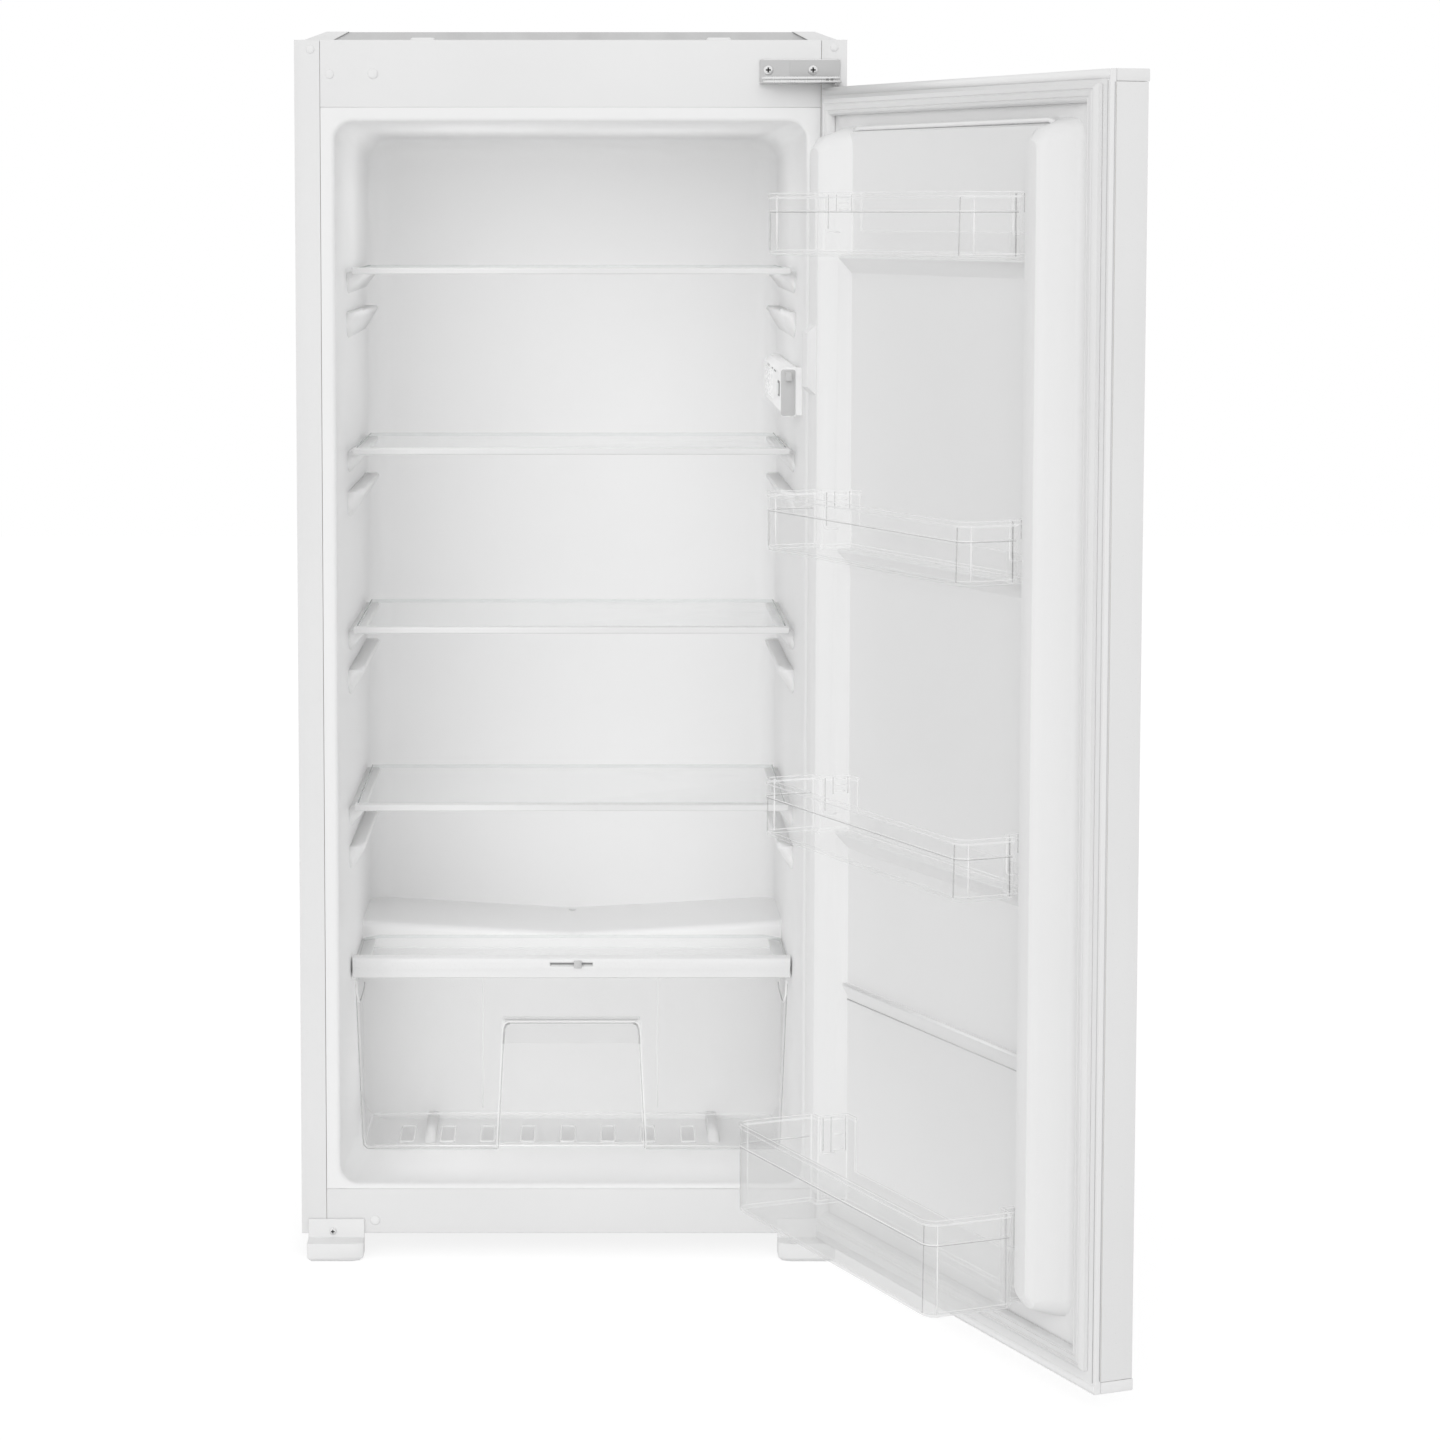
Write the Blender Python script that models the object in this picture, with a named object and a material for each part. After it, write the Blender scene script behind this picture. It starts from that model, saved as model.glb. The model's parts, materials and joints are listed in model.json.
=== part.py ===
"""A built-in larder refrigerator with its door open, as separate pieces.

Metres, +Z up. The cabinet's front faces -Y and the door is hinged on its right
side, at +X. The origin is the centre of the cabinet's underside. Depths are
measured back from the cabinet's front plane, and heights from the underside.
"""

import math

import bmesh
import bpy
from mathutils import Vector

# Cabinet
CABINET_WIDTH = 0.540
CABINET_DEPTH = 0.540
CABINET_HEIGHT = 1.1885
SHEET = 0.0012
GAP = 0.0003
OVERRUN = 0.006

# Front frame
STRIP_WIDTH = 0.0249
REAR_RETURN = 0.014
TOP_RAIL_HEIGHT = 0.0657
BOTTOM_RAIL_HEIGHT = 0.0455
RAIL_DEPTH = 0.016
RAIL_WALL = 0.0025
RAIL_CHAMFER = 0.0008

# Top, base and back
TOP_PANEL_THICKNESS = 0.004
DECK_RISE = 0.009
DECK_FRONT = 0.030
DECK_SIDE = 0.032
DECK_SLOPE = 0.006
BASE_THICKNESS = 0.002
REAR_SPACE = 0.028

# Machine compartment, at the bottom of the back
COMPARTMENT_DEPTH = 0.195
TRAY_LIP = 0.012

# Inner liner: its mouth, its walls and the hump over the machine compartment
LINER_WALL = 0.003
LINER_FLANGE = 0.0025
MOUTH_SIDE_BORDER = 0.0142
MOUTH_TOP_BORDER = 0.0139
MOUTH_BOTTOM_BORDER = 0.005
MOUTH_RADIUS = 0.018
LIP_DEPTH = 0.012
LIP_FALL = 0.0085
FLOOR_START = 0.030
SHOULDER_DEPTH = 0.105
SHOULDER_STEP = 0.0024
WALL_DEPTH = 0.130
WALL_STEP = 0.0015
REAR_INSULATION = 0.059
REAR_DRAFT = 0.002
CEILING_FALL = 0.0035
REAR_RADIUS = 0.030
HUMP_INSULATION = 0.040
HUMP_COVER = 0.046
GUTTER_FALL = 0.013
DRAIN_TO_REAR = 0.015
DRAIN_RADIUS = 0.0045

# Shelf ribs on the liner's side walls
RIB_REACH = 0.0155
RIB_EDGE = 0.004
RIB_HEIGHT = 0.022
RIB_FRONT_CLEARANCE = 0.0008
RIB_NOSE = 0.016
RIB_REAR_CLEARANCE = 0.050
RIB_NOSE_REACH_SHARE = 0.35
RIB_NOSE_HEIGHT_SHARE = 0.55
RIB_PITCH = 0.060
RAIL_RIB_HEIGHT = 0.0058
RUNNER_INSET = 0.077
RUNNER_WIDTH = 0.012

# Shelves
TOP_SHELF_DROP = 0.1449
SHELF_PITCH = 0.1825
LOWEST_SHELF_CLEARANCE = 0.105
SHELF_SIDE_CLEARANCE = 0.0055
SHELF_FRONT = 0.105
SHELF_REAR_CLEARANCE = 0.058
GLASS_THICKNESS = 0.004
GLASS_SIDE_INSET = 0.002
SHELF_TRIM_DEPTH = 0.015
SHELF_TRIM_RISE = 0.001
SHELF_TRIM_DROP = 0.0056
TRIM_WALL = 0.0027
TRIM_ROUND = 0.0010

# Crisper cover and its humidity slider
COVER_BELOW_GUTTER = 0.001
COVER_FRONT = 0.122
COVER_TRIM_DEPTH = 0.018
COVER_TRIM_TOP = 0.0103
COVER_TRIM_DROP = 0.0109
COVER_TRIM_CLEARANCE = 0.0015
COVER_GLASS_INSET = 0.0025
COVER_REAR_CLEARANCE = 0.005
COVER_CHAMFER = 0.016
SLOT_WIDTH = 0.044
SLOT_HEIGHT = 0.004
SLOT_DEPTH = 0.003
SLOT_RISE = 0.0038
SLIDER_PLACE = 0.0066
SLIDER_WIDTH = 0.008
SLIDER_TALL = 0.008
SLIDER_TIP = 0.0012
SLIDER_REACH = 0.0025

# Crisper drawer
DRAWER_FRONT = 0.128
DRAWER_REAR_CLEARANCE = 0.015
DRAWER_COVER_CLEARANCE = 0.0006
DRAWER_LIP_CLEARANCE = 0.0011
DRAWER_SIDE_CLEARANCE = 0.0035
DRAWER_SIDE_DRAFT = 0.0070
DRAWER_END_DRAFT = 0.0075
DRAWER_WALL = 0.0022
DRAWER_RADIUS = 0.012
GRIP_DROP = 0.048
GRIP_TOP_HALF_WIDTH = 0.069
GRIP_BOTTOM_HALF_WIDTH = 0.076
GRIP_DEPTH = 0.024

# Thermostat and lamp housing, on the right wall
HOUSING_FRONT = 0.050
HOUSING_REAR_CLEARANCE = 0.064
HOUSING_DROP = 0.1464
HOUSING_HEIGHT = 0.0494
HOUSING_REACH = 0.0161
HOUSING_WALL_CLEARANCE = 0.0024
HOUSING_CHAMFER = 0.006
DIAL_DEPTH = 0.0755
DIAL_RADIUS = 0.009
DIAL_PROUD = 0.0025
DIAL_RISE = 0.0209
DIAL_HEIGHT = 0.012
DIAL_TEETH = 14
DIAL_TOOTH = 0.0006
LAMP_START = 0.200
LAMP_END_CLEARANCE = 0.026
LAMP_HEIGHT = 0.029
LAMP_COVER_THICKNESS = 0.0015
LAMP_POCKET_DEPTH = 0.0125
LAMP_THICKNESS = 0.006
LAMP_MARGIN = 0.010
PLUNGER_WIDTH = 0.0065
PLUNGER_HEIGHT = 0.009
PLUNGER_RISE = 0.0359
PLUNGER_INSET = 0.005
PLUNGER_LENGTH = 0.026
PLUNGER_TRAVEL = 0.005
PLUNGER_TO_STRIKER = 0.0005

# Door, its hinge axis and its resting angle
DOOR_REST_DEGREES = 113.0
HINGE_INSET = 0.011
HINGE_FORWARD = 0.018
DOOR_STANDOFF = 0.008
DOOR_THICKNESS = 0.0375
DOOR_BELOW = 0.002
DOOR_TOP_FALL = 0.0465
DOOR_SHEET = 0.001
CAP_HEIGHT = 0.0106
CAP_PROUD = 0.0010
CAP_EDGE = 0.0008
DOOR_FLANGE = 0.006
GASKET_INSET = 0.012
GASKET_BOTTOM_INSET = 0.0185
GASKET_WIDTH = 0.016
GASKET_THICKNESS = 0.0074
GASKET_SHOULDER = 0.003

# Door liner, measured from the hinge side's edge and up from the inner plane
PANEL_EDGE = 0.036
PANEL_TOP_EDGE = 0.040
PANEL_BOTTOM = 0.0527
PANEL_RISE = 0.010
PANEL_SLOPE = 0.008
PANEL_RADIUS = 0.030
DYKE_OUTER = 0.036
DYKE_SHOULDER = 0.0445
DYKE_CREST_OUTER = 0.053
DYKE_CREST_INNER = 0.072
DYKE_INNER_SHOULDER = 0.076
DYKE_INNER_FOOT = 0.086
DYKE_INNER = 0.091
DYKE_HEIGHT = 0.040
DYKE_SHOULDER_HEIGHT = 0.032
DYKE_FOOT_HEIGHT = 0.007
DYKE_END = 0.020
DYKE_RADIUS = 0.022
DYKE_CREST_RADIUS = 0.009
STRIKER_OUTER = 0.056
STRIKER_INNER = 0.069
STRIKER_DROP = 0.0085
STRIKER_LENGTH = 0.070
STRIKER_HEIGHT = 0.009
LEDGE_REACH = 0.012
LEDGE_EDGE = 0.002
LEDGE_HEIGHT = 0.019
LEDGE_INNER = 0.080
LEDGE_ROOT = 0.002
RIDGE_BOTTOM = 0.258
RIDGE_HEIGHT = 0.017
RIDGE_REACH = 0.005

# Door racks
RACK_TOP_DROP = 0.122
RACK_BOTTOM_RISE = 0.0058
RACK_PLACE_SHARES = (1.0, 0.6951, 0.3966, 0.0)
RACK_HEIGHTS = (0.059, 0.057, 0.056, 0.088)
RACK_REACHES = (0.098, 0.098, 0.098, 0.125)
RACK_WING = 0.0885
RACK_SIDE = 0.0740
RACK_STEP_CLEARANCE = 0.0022
RACK_CORNER = 0.013
RACK_WALL = 0.002
RACK_FLOOR = 0.0022
RACK_ROUND = 0.005
RACK_ROUND_SHARE = 0.3
RACK_RIM = 0.0008
RACK_RIM_HEIGHT = 0.004
RACK_HOOK = 0.020
RACK_REAR_SHARE = 0.40

# Hinge brackets and feet
BRACKET_PLATE = 0.002
TOP_BRACKET_CLEARANCE = 0.004
TOP_BRACKET_HEIGHT = 0.023
TOP_BRACKET_LENGTH = 0.0786
BRACKET_OVERHANG = 0.0042
BRACKET_REACH = 0.008
BRACKET_TOE = 0.006
BRACKET_SHOULDER = 0.020
PIN_RADIUS = 0.0025
PIN_LENGTH = 0.009
BORE_CLEARANCE = 0.0003
FOOT_HEIGHT = 0.0224
FOOT_WIDTH = 0.0563
FOOT_EDGE = 0.0067
FOOT_PLATE_TOP = 0.0154
FOOT_REACH = 0.026
FOOT_BACK = 0.022
FOOT_DOOR_CLEARANCE = 0.0015
FOOT_TAPER = 0.004
REAR_FOOT_RADIUS = 0.017
REAR_FOOT_INSET = 0.035

# Evaporator and drain
EVAPORATOR_SIDE_MARGIN = 0.027
EVAPORATOR_RISE = 0.097
EVAPORATOR_DROP = 0.059
EVAPORATOR_THICKNESS = 0.0016
DRAIN_TUBE_WALL = 0.001
DRAIN_TUBE_DIP = 0.0066

# Compressor group
COMPRESSOR_INSET = 0.180
COMPRESSOR_CLEARANCE = 0.022
COMPRESSOR_HALF_LENGTH = 0.090
COMPRESSOR_HALF_WIDTH = 0.078
COMPRESSOR_BOTTOM = 0.0213
COMPRESSOR_HEIGHT = 0.141
COMPRESSOR_HEIGHT_SHARES = (0.0, 0.07, 0.28, 0.42, 0.44, 0.46, 0.70, 0.90, 1.0)
COMPRESSOR_RADIUS_SHARES = (0.70, 0.89, 0.95, 0.96, 1.0, 0.96, 0.92, 0.70, 0.38)
MOUNT_HEIGHT = 0.014
MOUNT_RADIUS = 0.011
MOUNT_SPREAD_X = 0.080
MOUNT_SPREAD_Y = 0.050
FOOT_BAR_THICKNESS = 0.004
FOOT_BAR_MARGIN = 0.012
RELAY_LENGTH = 0.034
RELAY_WIDTH = 0.040
RELAY_BOTTOM = 0.055
RELAY_HEIGHT = 0.045
PAN_LENGTH = 0.180
PAN_WIDTH = 0.110
PAN_HEIGHT = 0.022
PAN_CLEARANCE = 0.0304
PAN_WALL = 0.0015
PAN_OFFSET = -0.020
PAN_DRAFT = 0.004
PAN_RADIUS = 0.012

# Condenser on the back
TUBE_RADIUS = 0.0024
WIRE_THICKNESS = 0.0014
BRACKET_THICKNESS = 0.0055
BRACKET_WIDTH = 0.014
BRACKET_INSET = 0.030
CONDENSER_SIDE = 0.085
CONDENSER_DROP = 0.0985
CONDENSER_LOWEST = 0.300
CONDENSER_PITCH = 0.062
WIRE_COUNT = 16
CROSS_WIRES = 4
WIRE_SIDE = 0.098
WIRE_TOP_MARGIN = 0.016
RISER_INSET = 0.040
DRIER_INSET = 0.054
DRIER_DROP = 0.048
DRIER_LENGTH = 0.100
DRIER_RADIUS = 0.009
DRIER_NECK = 0.012
DRIER_NECK_RADIUS = 0.0035
CAPILLARY_RADIUS = 0.0012
SUCTION_RADIUS = 0.004
PIPE_RISE = 0.0837

# Counts for round shapes
CORNER_STEPS = 4
ROUND_STEPS = 24
SMALL_ROUND_STEPS = 12
BEND_STEPS = 5
PIPE_STEPS = 6
TUBE_RESOLUTION = 1
SMOOTH_ANGLE = math.radians(40)

# Places worked out from the sizes above
HALF_WIDTH = CABINET_WIDTH / 2
FRONT = -CABINET_DEPTH / 2
INSIDE_HALF_WIDTH = HALF_WIDTH - SHEET - GAP
RAIL_HALF_WIDTH = HALF_WIDTH - STRIP_WIDTH - GAP
RAIL_SEAM_TOP = CABINET_HEIGHT - TOP_RAIL_HEIGHT
TOP_PANEL_BOTTOM = CABINET_HEIGHT - TOP_PANEL_THICKNESS
MOUTH_HALF_WIDTH = HALF_WIDTH - STRIP_WIDTH - MOUTH_SIDE_BORDER
MOUTH_TOP = RAIL_SEAM_TOP - MOUTH_TOP_BORDER
MOUTH_BOTTOM = BOTTOM_RAIL_HEIGHT + MOUTH_BOTTOM_BORDER
FLOOR = MOUTH_BOTTOM - LIP_FALL
WALL_HALF_WIDTH = MOUTH_HALF_WIDTH - SHOULDER_STEP - WALL_STEP
BACK_PANEL_DEPTH = CABINET_DEPTH - REAR_SPACE
COMPARTMENT_FRONT = CABINET_DEPTH - COMPARTMENT_DEPTH
REAR_DEPTH = BACK_PANEL_DEPTH - REAR_INSULATION - LINER_WALL
DRAIN_DEPTH = REAR_DEPTH - DRAIN_TO_REAR
HUMP_DEPTH = COMPARTMENT_FRONT - HUMP_INSULATION
COMPRESSOR_TOP = COMPRESSOR_BOTTOM - FOOT_BAR_THICKNESS / 2 + COMPRESSOR_HEIGHT
PAN_TOP = COMPRESSOR_TOP + GAP + PAN_HEIGHT
DRAIN_TUBE_BOTTOM = PAN_TOP - DRAIN_TUBE_DIP
COMPARTMENT_HEIGHT = PAN_TOP + PAN_CLEARANCE
HUMP_SIDE_HEIGHT = COMPARTMENT_HEIGHT + HUMP_COVER
GUTTER_HEIGHT = HUMP_SIDE_HEIGHT - GUTTER_FALL
TOP_SHELF_HEIGHT = MOUTH_TOP - TOP_SHELF_DROP
LOWEST_SHELF_HEIGHT = HUMP_SIDE_HEIGHT + LOWEST_SHELF_CLEARANCE
SHELF_COUNT = 1 + int((TOP_SHELF_HEIGHT - LOWEST_SHELF_HEIGHT) / SHELF_PITCH)
SHELF_HALF_WIDTH = WALL_HALF_WIDTH - SHELF_SIDE_CLEARANCE
RUNNER_SPREAD = WALL_HALF_WIDTH - RUNNER_INSET
RIB_HALF_SPAN = WALL_HALF_WIDTH + LINER_WALL / 3
COVER_HALF_WIDTH = WALL_HALF_WIDTH - COVER_TRIM_CLEARANCE
COVER_GLASS_HEIGHT = GUTTER_HEIGHT - COVER_BELOW_GUTTER
DRAWER_TOP = COVER_GLASS_HEIGHT - COVER_TRIM_DROP - DRAWER_COVER_CLEARANCE
GRIP_TOP = DRAWER_TOP - GRIP_DROP
DRAWER_BOTTOM = MOUTH_BOTTOM + DRAWER_LIP_CLEARANCE
DOOR_BOTTOM = -DOOR_BELOW
DOOR_TOP = CABINET_HEIGHT - DOOR_TOP_FALL
PANEL_TOP = DOOR_TOP - PANEL_TOP_EDGE
HINGE_X = HALF_WIDTH - HINGE_INSET
HINGE_Y = FRONT - HINGE_FORWARD
INNER_PLANE = HINGE_FORWARD - DOOR_STANDOFF
OUTER_PLANE = INNER_PLANE - DOOR_THICKNESS
CAP_INNER_PLANE = INNER_PLANE - DOOR_FLANGE - GAP
TOP_BRACKET_BOTTOM = DOOR_TOP + TOP_BRACKET_CLEARANCE
HOUSING_OUTER = WALL_HALF_WIDTH - HOUSING_WALL_CLEARANCE
HOUSING_INNER = HOUSING_OUTER - HOUSING_REACH
HOUSING_BOTTOM = TOP_SHELF_HEIGHT - HOUSING_DROP
HOUSING_END = REAR_DEPTH - HOUSING_REAR_CLEARANCE
LAMP_END = HOUSING_END - LAMP_END_CLEARANCE
DIAL_BOTTOM = HOUSING_BOTTOM + DIAL_RISE
PLUNGER_BOTTOM = HOUSING_BOTTOM + PLUNGER_RISE
STRIKER_BOTTOM = PLUNGER_BOTTOM - STRIKER_DROP
EVAPORATOR_HALF_WIDTH = WALL_HALF_WIDTH - EVAPORATOR_SIDE_MARGIN
EVAPORATOR_BOTTOM = COMPARTMENT_HEIGHT + EVAPORATOR_RISE
EVAPORATOR_TOP = MOUTH_TOP - EVAPORATOR_DROP
DRAIN_TUBE_RADIUS = DRAIN_RADIUS + DRAIN_TUBE_WALL
WIRE_PLACE = BACK_PANEL_DEPTH + SHEET + GAP + BRACKET_THICKNESS + GAP
TUBE_PLACE = WIRE_PLACE + WIRE_THICKNESS + GAP + TUBE_RADIUS
COMPRESSOR_X = HALF_WIDTH - COMPRESSOR_INSET
COMPRESSOR_DEPTH = COMPARTMENT_FRONT + COMPRESSOR_CLEARANCE + COMPRESSOR_HALF_WIDTH
RISER_X = HALF_WIDTH - RISER_INSET
DRIER_X = DRIER_INSET - HALF_WIDTH
DRIER_TOP = COMPARTMENT_HEIGHT - DRIER_DROP
PIPE_HEIGHT = COMPRESSOR_BOTTOM + PIPE_RISE
CONDENSER_HALF_RUN = HALF_WIDTH - CONDENSER_SIDE
WIRE_HALF_SPAN = HALF_WIDTH - WIRE_SIDE
CONDENSER_TOP = CABINET_HEIGHT - CONDENSER_DROP
CONDENSER_RUNS = 1 + 2 * int((CONDENSER_TOP - CONDENSER_LOWEST) / (2 * CONDENSER_PITCH))


def deep(depth):
    """The Y of a depth behind the cabinet's front plane."""
    return FRONT + depth


# Basic shapes


def loft(bm, rings, closed=False):
    """Skins a body over rings with equally many points, capped at its ends or closed into a loop."""
    rows = [[bm.verts.new(point) for point in ring] for ring in rings]
    pairs = list(zip(rows, rows[1:]))
    if closed:
        pairs.append((rows[-1], rows[0]))
    for low, high in pairs:
        for index in range(len(low)):
            after = (index + 1) % len(low)
            bm.faces.new((low[index], low[after], high[after], high[index]))
    if not closed:
        bm.faces.new(list(reversed(rows[0])))
        bm.faces.new(rows[-1])


def box(bm, low, high):
    """Adds the box between two opposite corners."""
    corners = ((0, 0), (1, 0), (1, 1), (0, 1))
    ends = (low, high)
    loft(bm, [[(ends[i][0], ends[j][1], end[2]) for i, j in corners] for end in ends])


def placed(axis, along, first, second):
    """A point with one coordinate along the axis and the other two in X, Y, Z order."""
    coordinates = [first, second]
    coordinates.insert("XYZ".index(axis), along)
    return tuple(coordinates)


def prism(bm, outline, axis, start, end):
    """Extrudes a flat outline along an axis."""
    loft(bm, [[placed(axis, along, u, v) for u, v in outline] for along in (start, end)])


def arc(centre, radius, start, turn, steps):
    """Points along an arc, both ends included."""
    return [
        (
            centre[0] + radius * math.cos(start + turn * step / steps),
            centre[1] + radius * math.sin(start + turn * step / steps),
        )
        for step in range(steps + 1)
    ]


def rounded(low_u, high_u, low_v, high_v, radius):
    """A rectangle with round corners, anticlockwise."""
    quarter = math.pi / 2
    centres = (
        (low_u + radius, low_v + radius),
        (high_u - radius, low_v + radius),
        (high_u - radius, high_v - radius),
        (low_u + radius, high_v - radius),
    )
    points = []
    for index, centre in enumerate(centres):
        points += arc(centre, radius, math.pi + index * quarter, quarter, CORNER_STEPS)
    return points


def circle(centre, radius, steps):
    """A round outline."""
    return arc(centre, radius, 0.0, math.tau, steps)[:-1]


def cylinder(bm, centre, radius, axis, start, end, steps=SMALL_ROUND_STEPS):
    """Adds a round bar along an axis."""
    prism(bm, circle(centre, radius, steps), axis, start, end)


def new_object(name, bm, parent=None):
    """Turns a bmesh into a linked object with its faces pointing out."""
    bmesh.ops.recalc_face_normals(bm, faces=bm.faces)
    mesh = bpy.data.meshes.new(name)
    bm.to_mesh(mesh)
    bm.free()
    made = bpy.data.objects.new(name, mesh)
    bpy.context.collection.objects.link(made)
    made.parent = parent
    return made


def finish_material(made, colour, roughness, metallic=0.0, see_through=0.0):
    """Gives an object a material of its own."""
    material = bpy.data.materials.new(made.name)
    material.use_nodes = True
    shader = material.node_tree.nodes["Principled BSDF"]
    shader.inputs["Base Color"].default_value = (*colour, 1.0)
    shader.inputs["Roughness"].default_value = roughness
    shader.inputs["Metallic"].default_value = metallic
    shader.inputs["Transmission Weight"].default_value = see_through
    made.data.materials.append(material)
    return made


def join(target, tool, operation):
    """Applies one exact Boolean to the target and hides the tool, which is only a guide."""
    modifier = target.modifiers.new(tool.name, "BOOLEAN")
    modifier.operation = operation
    modifier.object = tool
    modifier.solver = "EXACT"
    tool.hide_render = True
    tool.display_type = "WIRE"


def cut(target, tool):
    join(target, tool, "DIFFERENCE")


def fuse(target, tool):
    join(target, tool, "UNION")


def smooth(made):
    """Shades a round piece smooth, with its real edges sharp."""
    made.data.shade_smooth()
    made.data.set_sharp_from_angle(angle=SMOOTH_ANGLE)
    return made


def box_object(name, low, high, parent=None):
    bm = bmesh.new()
    box(bm, low, high)
    return new_object(name, bm, parent)


def prism_object(name, outline, axis, start, end, parent=None):
    bm = bmesh.new()
    prism(bm, outline, axis, start, end)
    return new_object(name, bm, parent)


def tube_object(name, points, radius, resolution=TUBE_RESOLUTION):
    """A round tube along points, with filled ends."""
    curve = bpy.data.curves.new(name, "CURVE")
    curve.dimensions = "3D"
    curve.bevel_depth = radius
    curve.bevel_resolution = resolution
    curve.use_fill_caps = True
    spline = curve.splines.new("POLY")
    spline.points.add(len(points) - 1)
    for place, point in zip(spline.points, points):
        place.co = (*point, 1.0)
    made = bpy.data.objects.new(name, curve)
    bpy.context.collection.objects.link(made)
    return made


def smooth_path(points):
    """Points read from a smooth curve through a pipe's own points."""
    stations = [Vector(point) for point in points]
    stations = [2 * stations[0] - stations[1], *stations, 2 * stations[-1] - stations[-2]]
    path = []
    for index in range(1, len(stations) - 2):
        before, start, end, after = stations[index - 1 : index + 3]
        for step in range(PIPE_STEPS):
            t = step / PIPE_STEPS
            path.append(
                (
                    2 * start
                    + (end - before) * t
                    + (2 * before - 5 * start + 4 * end - after) * t**2
                    + (3 * start - before - 3 * end + after) * t**3
                )
                / 2
            )
    path.append(stations[-2])
    return path


# Finishes

WHITE = (0.86, 0.865, 0.87)
LINER_WHITE = (0.80, 0.805, 0.81)
CLEAR = (0.92, 0.93, 0.93)


def white_paint(made):
    return finish_material(made, WHITE, 0.35)


def white_plastic(made):
    return finish_material(made, LINER_WHITE, 0.45)


def clear_plastic(made):
    return finish_material(made, CLEAR, 0.12, see_through=0.9)


def steel(made):
    return finish_material(made, (0.62, 0.63, 0.64), 0.38, metallic=1.0)


def black_paint(made):
    return finish_material(made, (0.03, 0.03, 0.032), 0.5)


def copper(made):
    return finish_material(made, (0.72, 0.40, 0.26), 0.35, metallic=1.0)


def foam(made):
    return finish_material(made, (0.80, 0.72, 0.48), 0.9)


# Cabinet


def side_panel(name, side):
    """A folded steel side with its front strip and its rear return."""
    outer = HALF_WIDTH
    inner = HALF_WIDTH - SHEET
    strip = HALF_WIDTH - STRIP_WIDTH
    fold = HALF_WIDTH - REAR_RETURN
    back = deep(CABINET_DEPTH)
    outline = [
        (outer, FRONT),
        (outer, back),
        (fold, back),
        (fold, back - SHEET),
        (inner, back - SHEET),
        (inner, FRONT + SHEET),
        (strip, FRONT + SHEET),
        (strip, FRONT),
    ]
    outline = [(side * x, y) for x, y in outline]
    white_paint(prism_object(name, outline, "Z", 0.0, CABINET_HEIGHT))


def front_rail(name, bottom, top):
    """A channel across the front, open at its back."""
    front = FRONT
    back = deep(RAIL_DEPTH)
    outline = [
        (front + RAIL_CHAMFER, bottom),
        (back, bottom),
        (back, bottom + RAIL_WALL),
        (front + RAIL_WALL, bottom + RAIL_WALL),
        (front + RAIL_WALL, top - RAIL_WALL),
        (back, top - RAIL_WALL),
        (back, top),
        (front + RAIL_CHAMFER, top),
        (front, top - RAIL_CHAMFER),
        (front, bottom + RAIL_CHAMFER),
    ]
    white_plastic(prism_object(name, outline, "X", -RAIL_HALF_WIDTH, RAIL_HALF_WIDTH))


def level_rectangle(half_width, front, back, height):
    return [
        (-half_width, front, height),
        (half_width, front, height),
        (half_width, back, height),
        (-half_width, back, height),
    ]


def top_panel():
    """The cabinet's lid, with its raised deck."""
    front = deep(RAIL_DEPTH + GAP)
    back = deep(CABINET_DEPTH - SHEET - GAP)
    half_deck = HALF_WIDTH - DECK_SIDE
    deck_front = deep(DECK_FRONT)
    deck_back = back - DECK_SLOPE
    bm = bmesh.new()
    loft(
        bm,
        [
            level_rectangle(INSIDE_HALF_WIDTH, front, back, TOP_PANEL_BOTTOM),
            level_rectangle(INSIDE_HALF_WIDTH, front, back, CABINET_HEIGHT),
            level_rectangle(half_deck, deck_front, deck_back, CABINET_HEIGHT),
            level_rectangle(
                half_deck - DECK_SLOPE,
                deck_front + DECK_SLOPE / 2,
                deck_back - DECK_SLOPE,
                CABINET_HEIGHT + DECK_RISE,
            ),
        ],
    )
    finish_material(new_object("top_panel", bm), (0.52, 0.53, 0.54), 0.5)


def panels():
    """The base, the back and the folded wall of the machine compartment."""
    compartment_back = COMPARTMENT_FRONT + SHEET
    base = box_object(
        "base_panel",
        (-INSIDE_HALF_WIDTH, deep(RAIL_DEPTH + GAP), 0.0),
        (INSIDE_HALF_WIDTH, deep(compartment_back), BASE_THICKNESS),
    )
    finish_material(base, (0.30, 0.31, 0.32), 0.5)
    back = box_object(
        "back_panel",
        (-INSIDE_HALF_WIDTH, deep(BACK_PANEL_DEPTH), COMPARTMENT_HEIGHT - SHEET),
        (INSIDE_HALF_WIDTH, deep(BACK_PANEL_DEPTH + SHEET), TOP_PANEL_BOTTOM - GAP),
    )
    steel(back)
    outline = [
        (deep(COMPARTMENT_FRONT), BASE_THICKNESS + GAP),
        (deep(compartment_back), BASE_THICKNESS + GAP),
        (deep(compartment_back), COMPARTMENT_HEIGHT - SHEET),
        (deep(BACK_PANEL_DEPTH - GAP), COMPARTMENT_HEIGHT - SHEET),
        (deep(BACK_PANEL_DEPTH - GAP), COMPARTMENT_HEIGHT),
        (deep(COMPARTMENT_FRONT), COMPARTMENT_HEIGHT),
    ]
    wall = prism_object("compartment_wall", outline, "X", -INSIDE_HALF_WIDTH, INSIDE_HALF_WIDTH)
    bm = bmesh.new()
    cylinder(
        bm,
        (0.0, deep(DRAIN_DEPTH)),
        DRAIN_TUBE_RADIUS + GAP,
        "Z",
        COMPARTMENT_HEIGHT - SHEET - OVERRUN,
        COMPARTMENT_HEIGHT + OVERRUN,
    )
    cut(wall, new_object("guide_wall_hole", bm))
    steel(wall)


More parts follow.
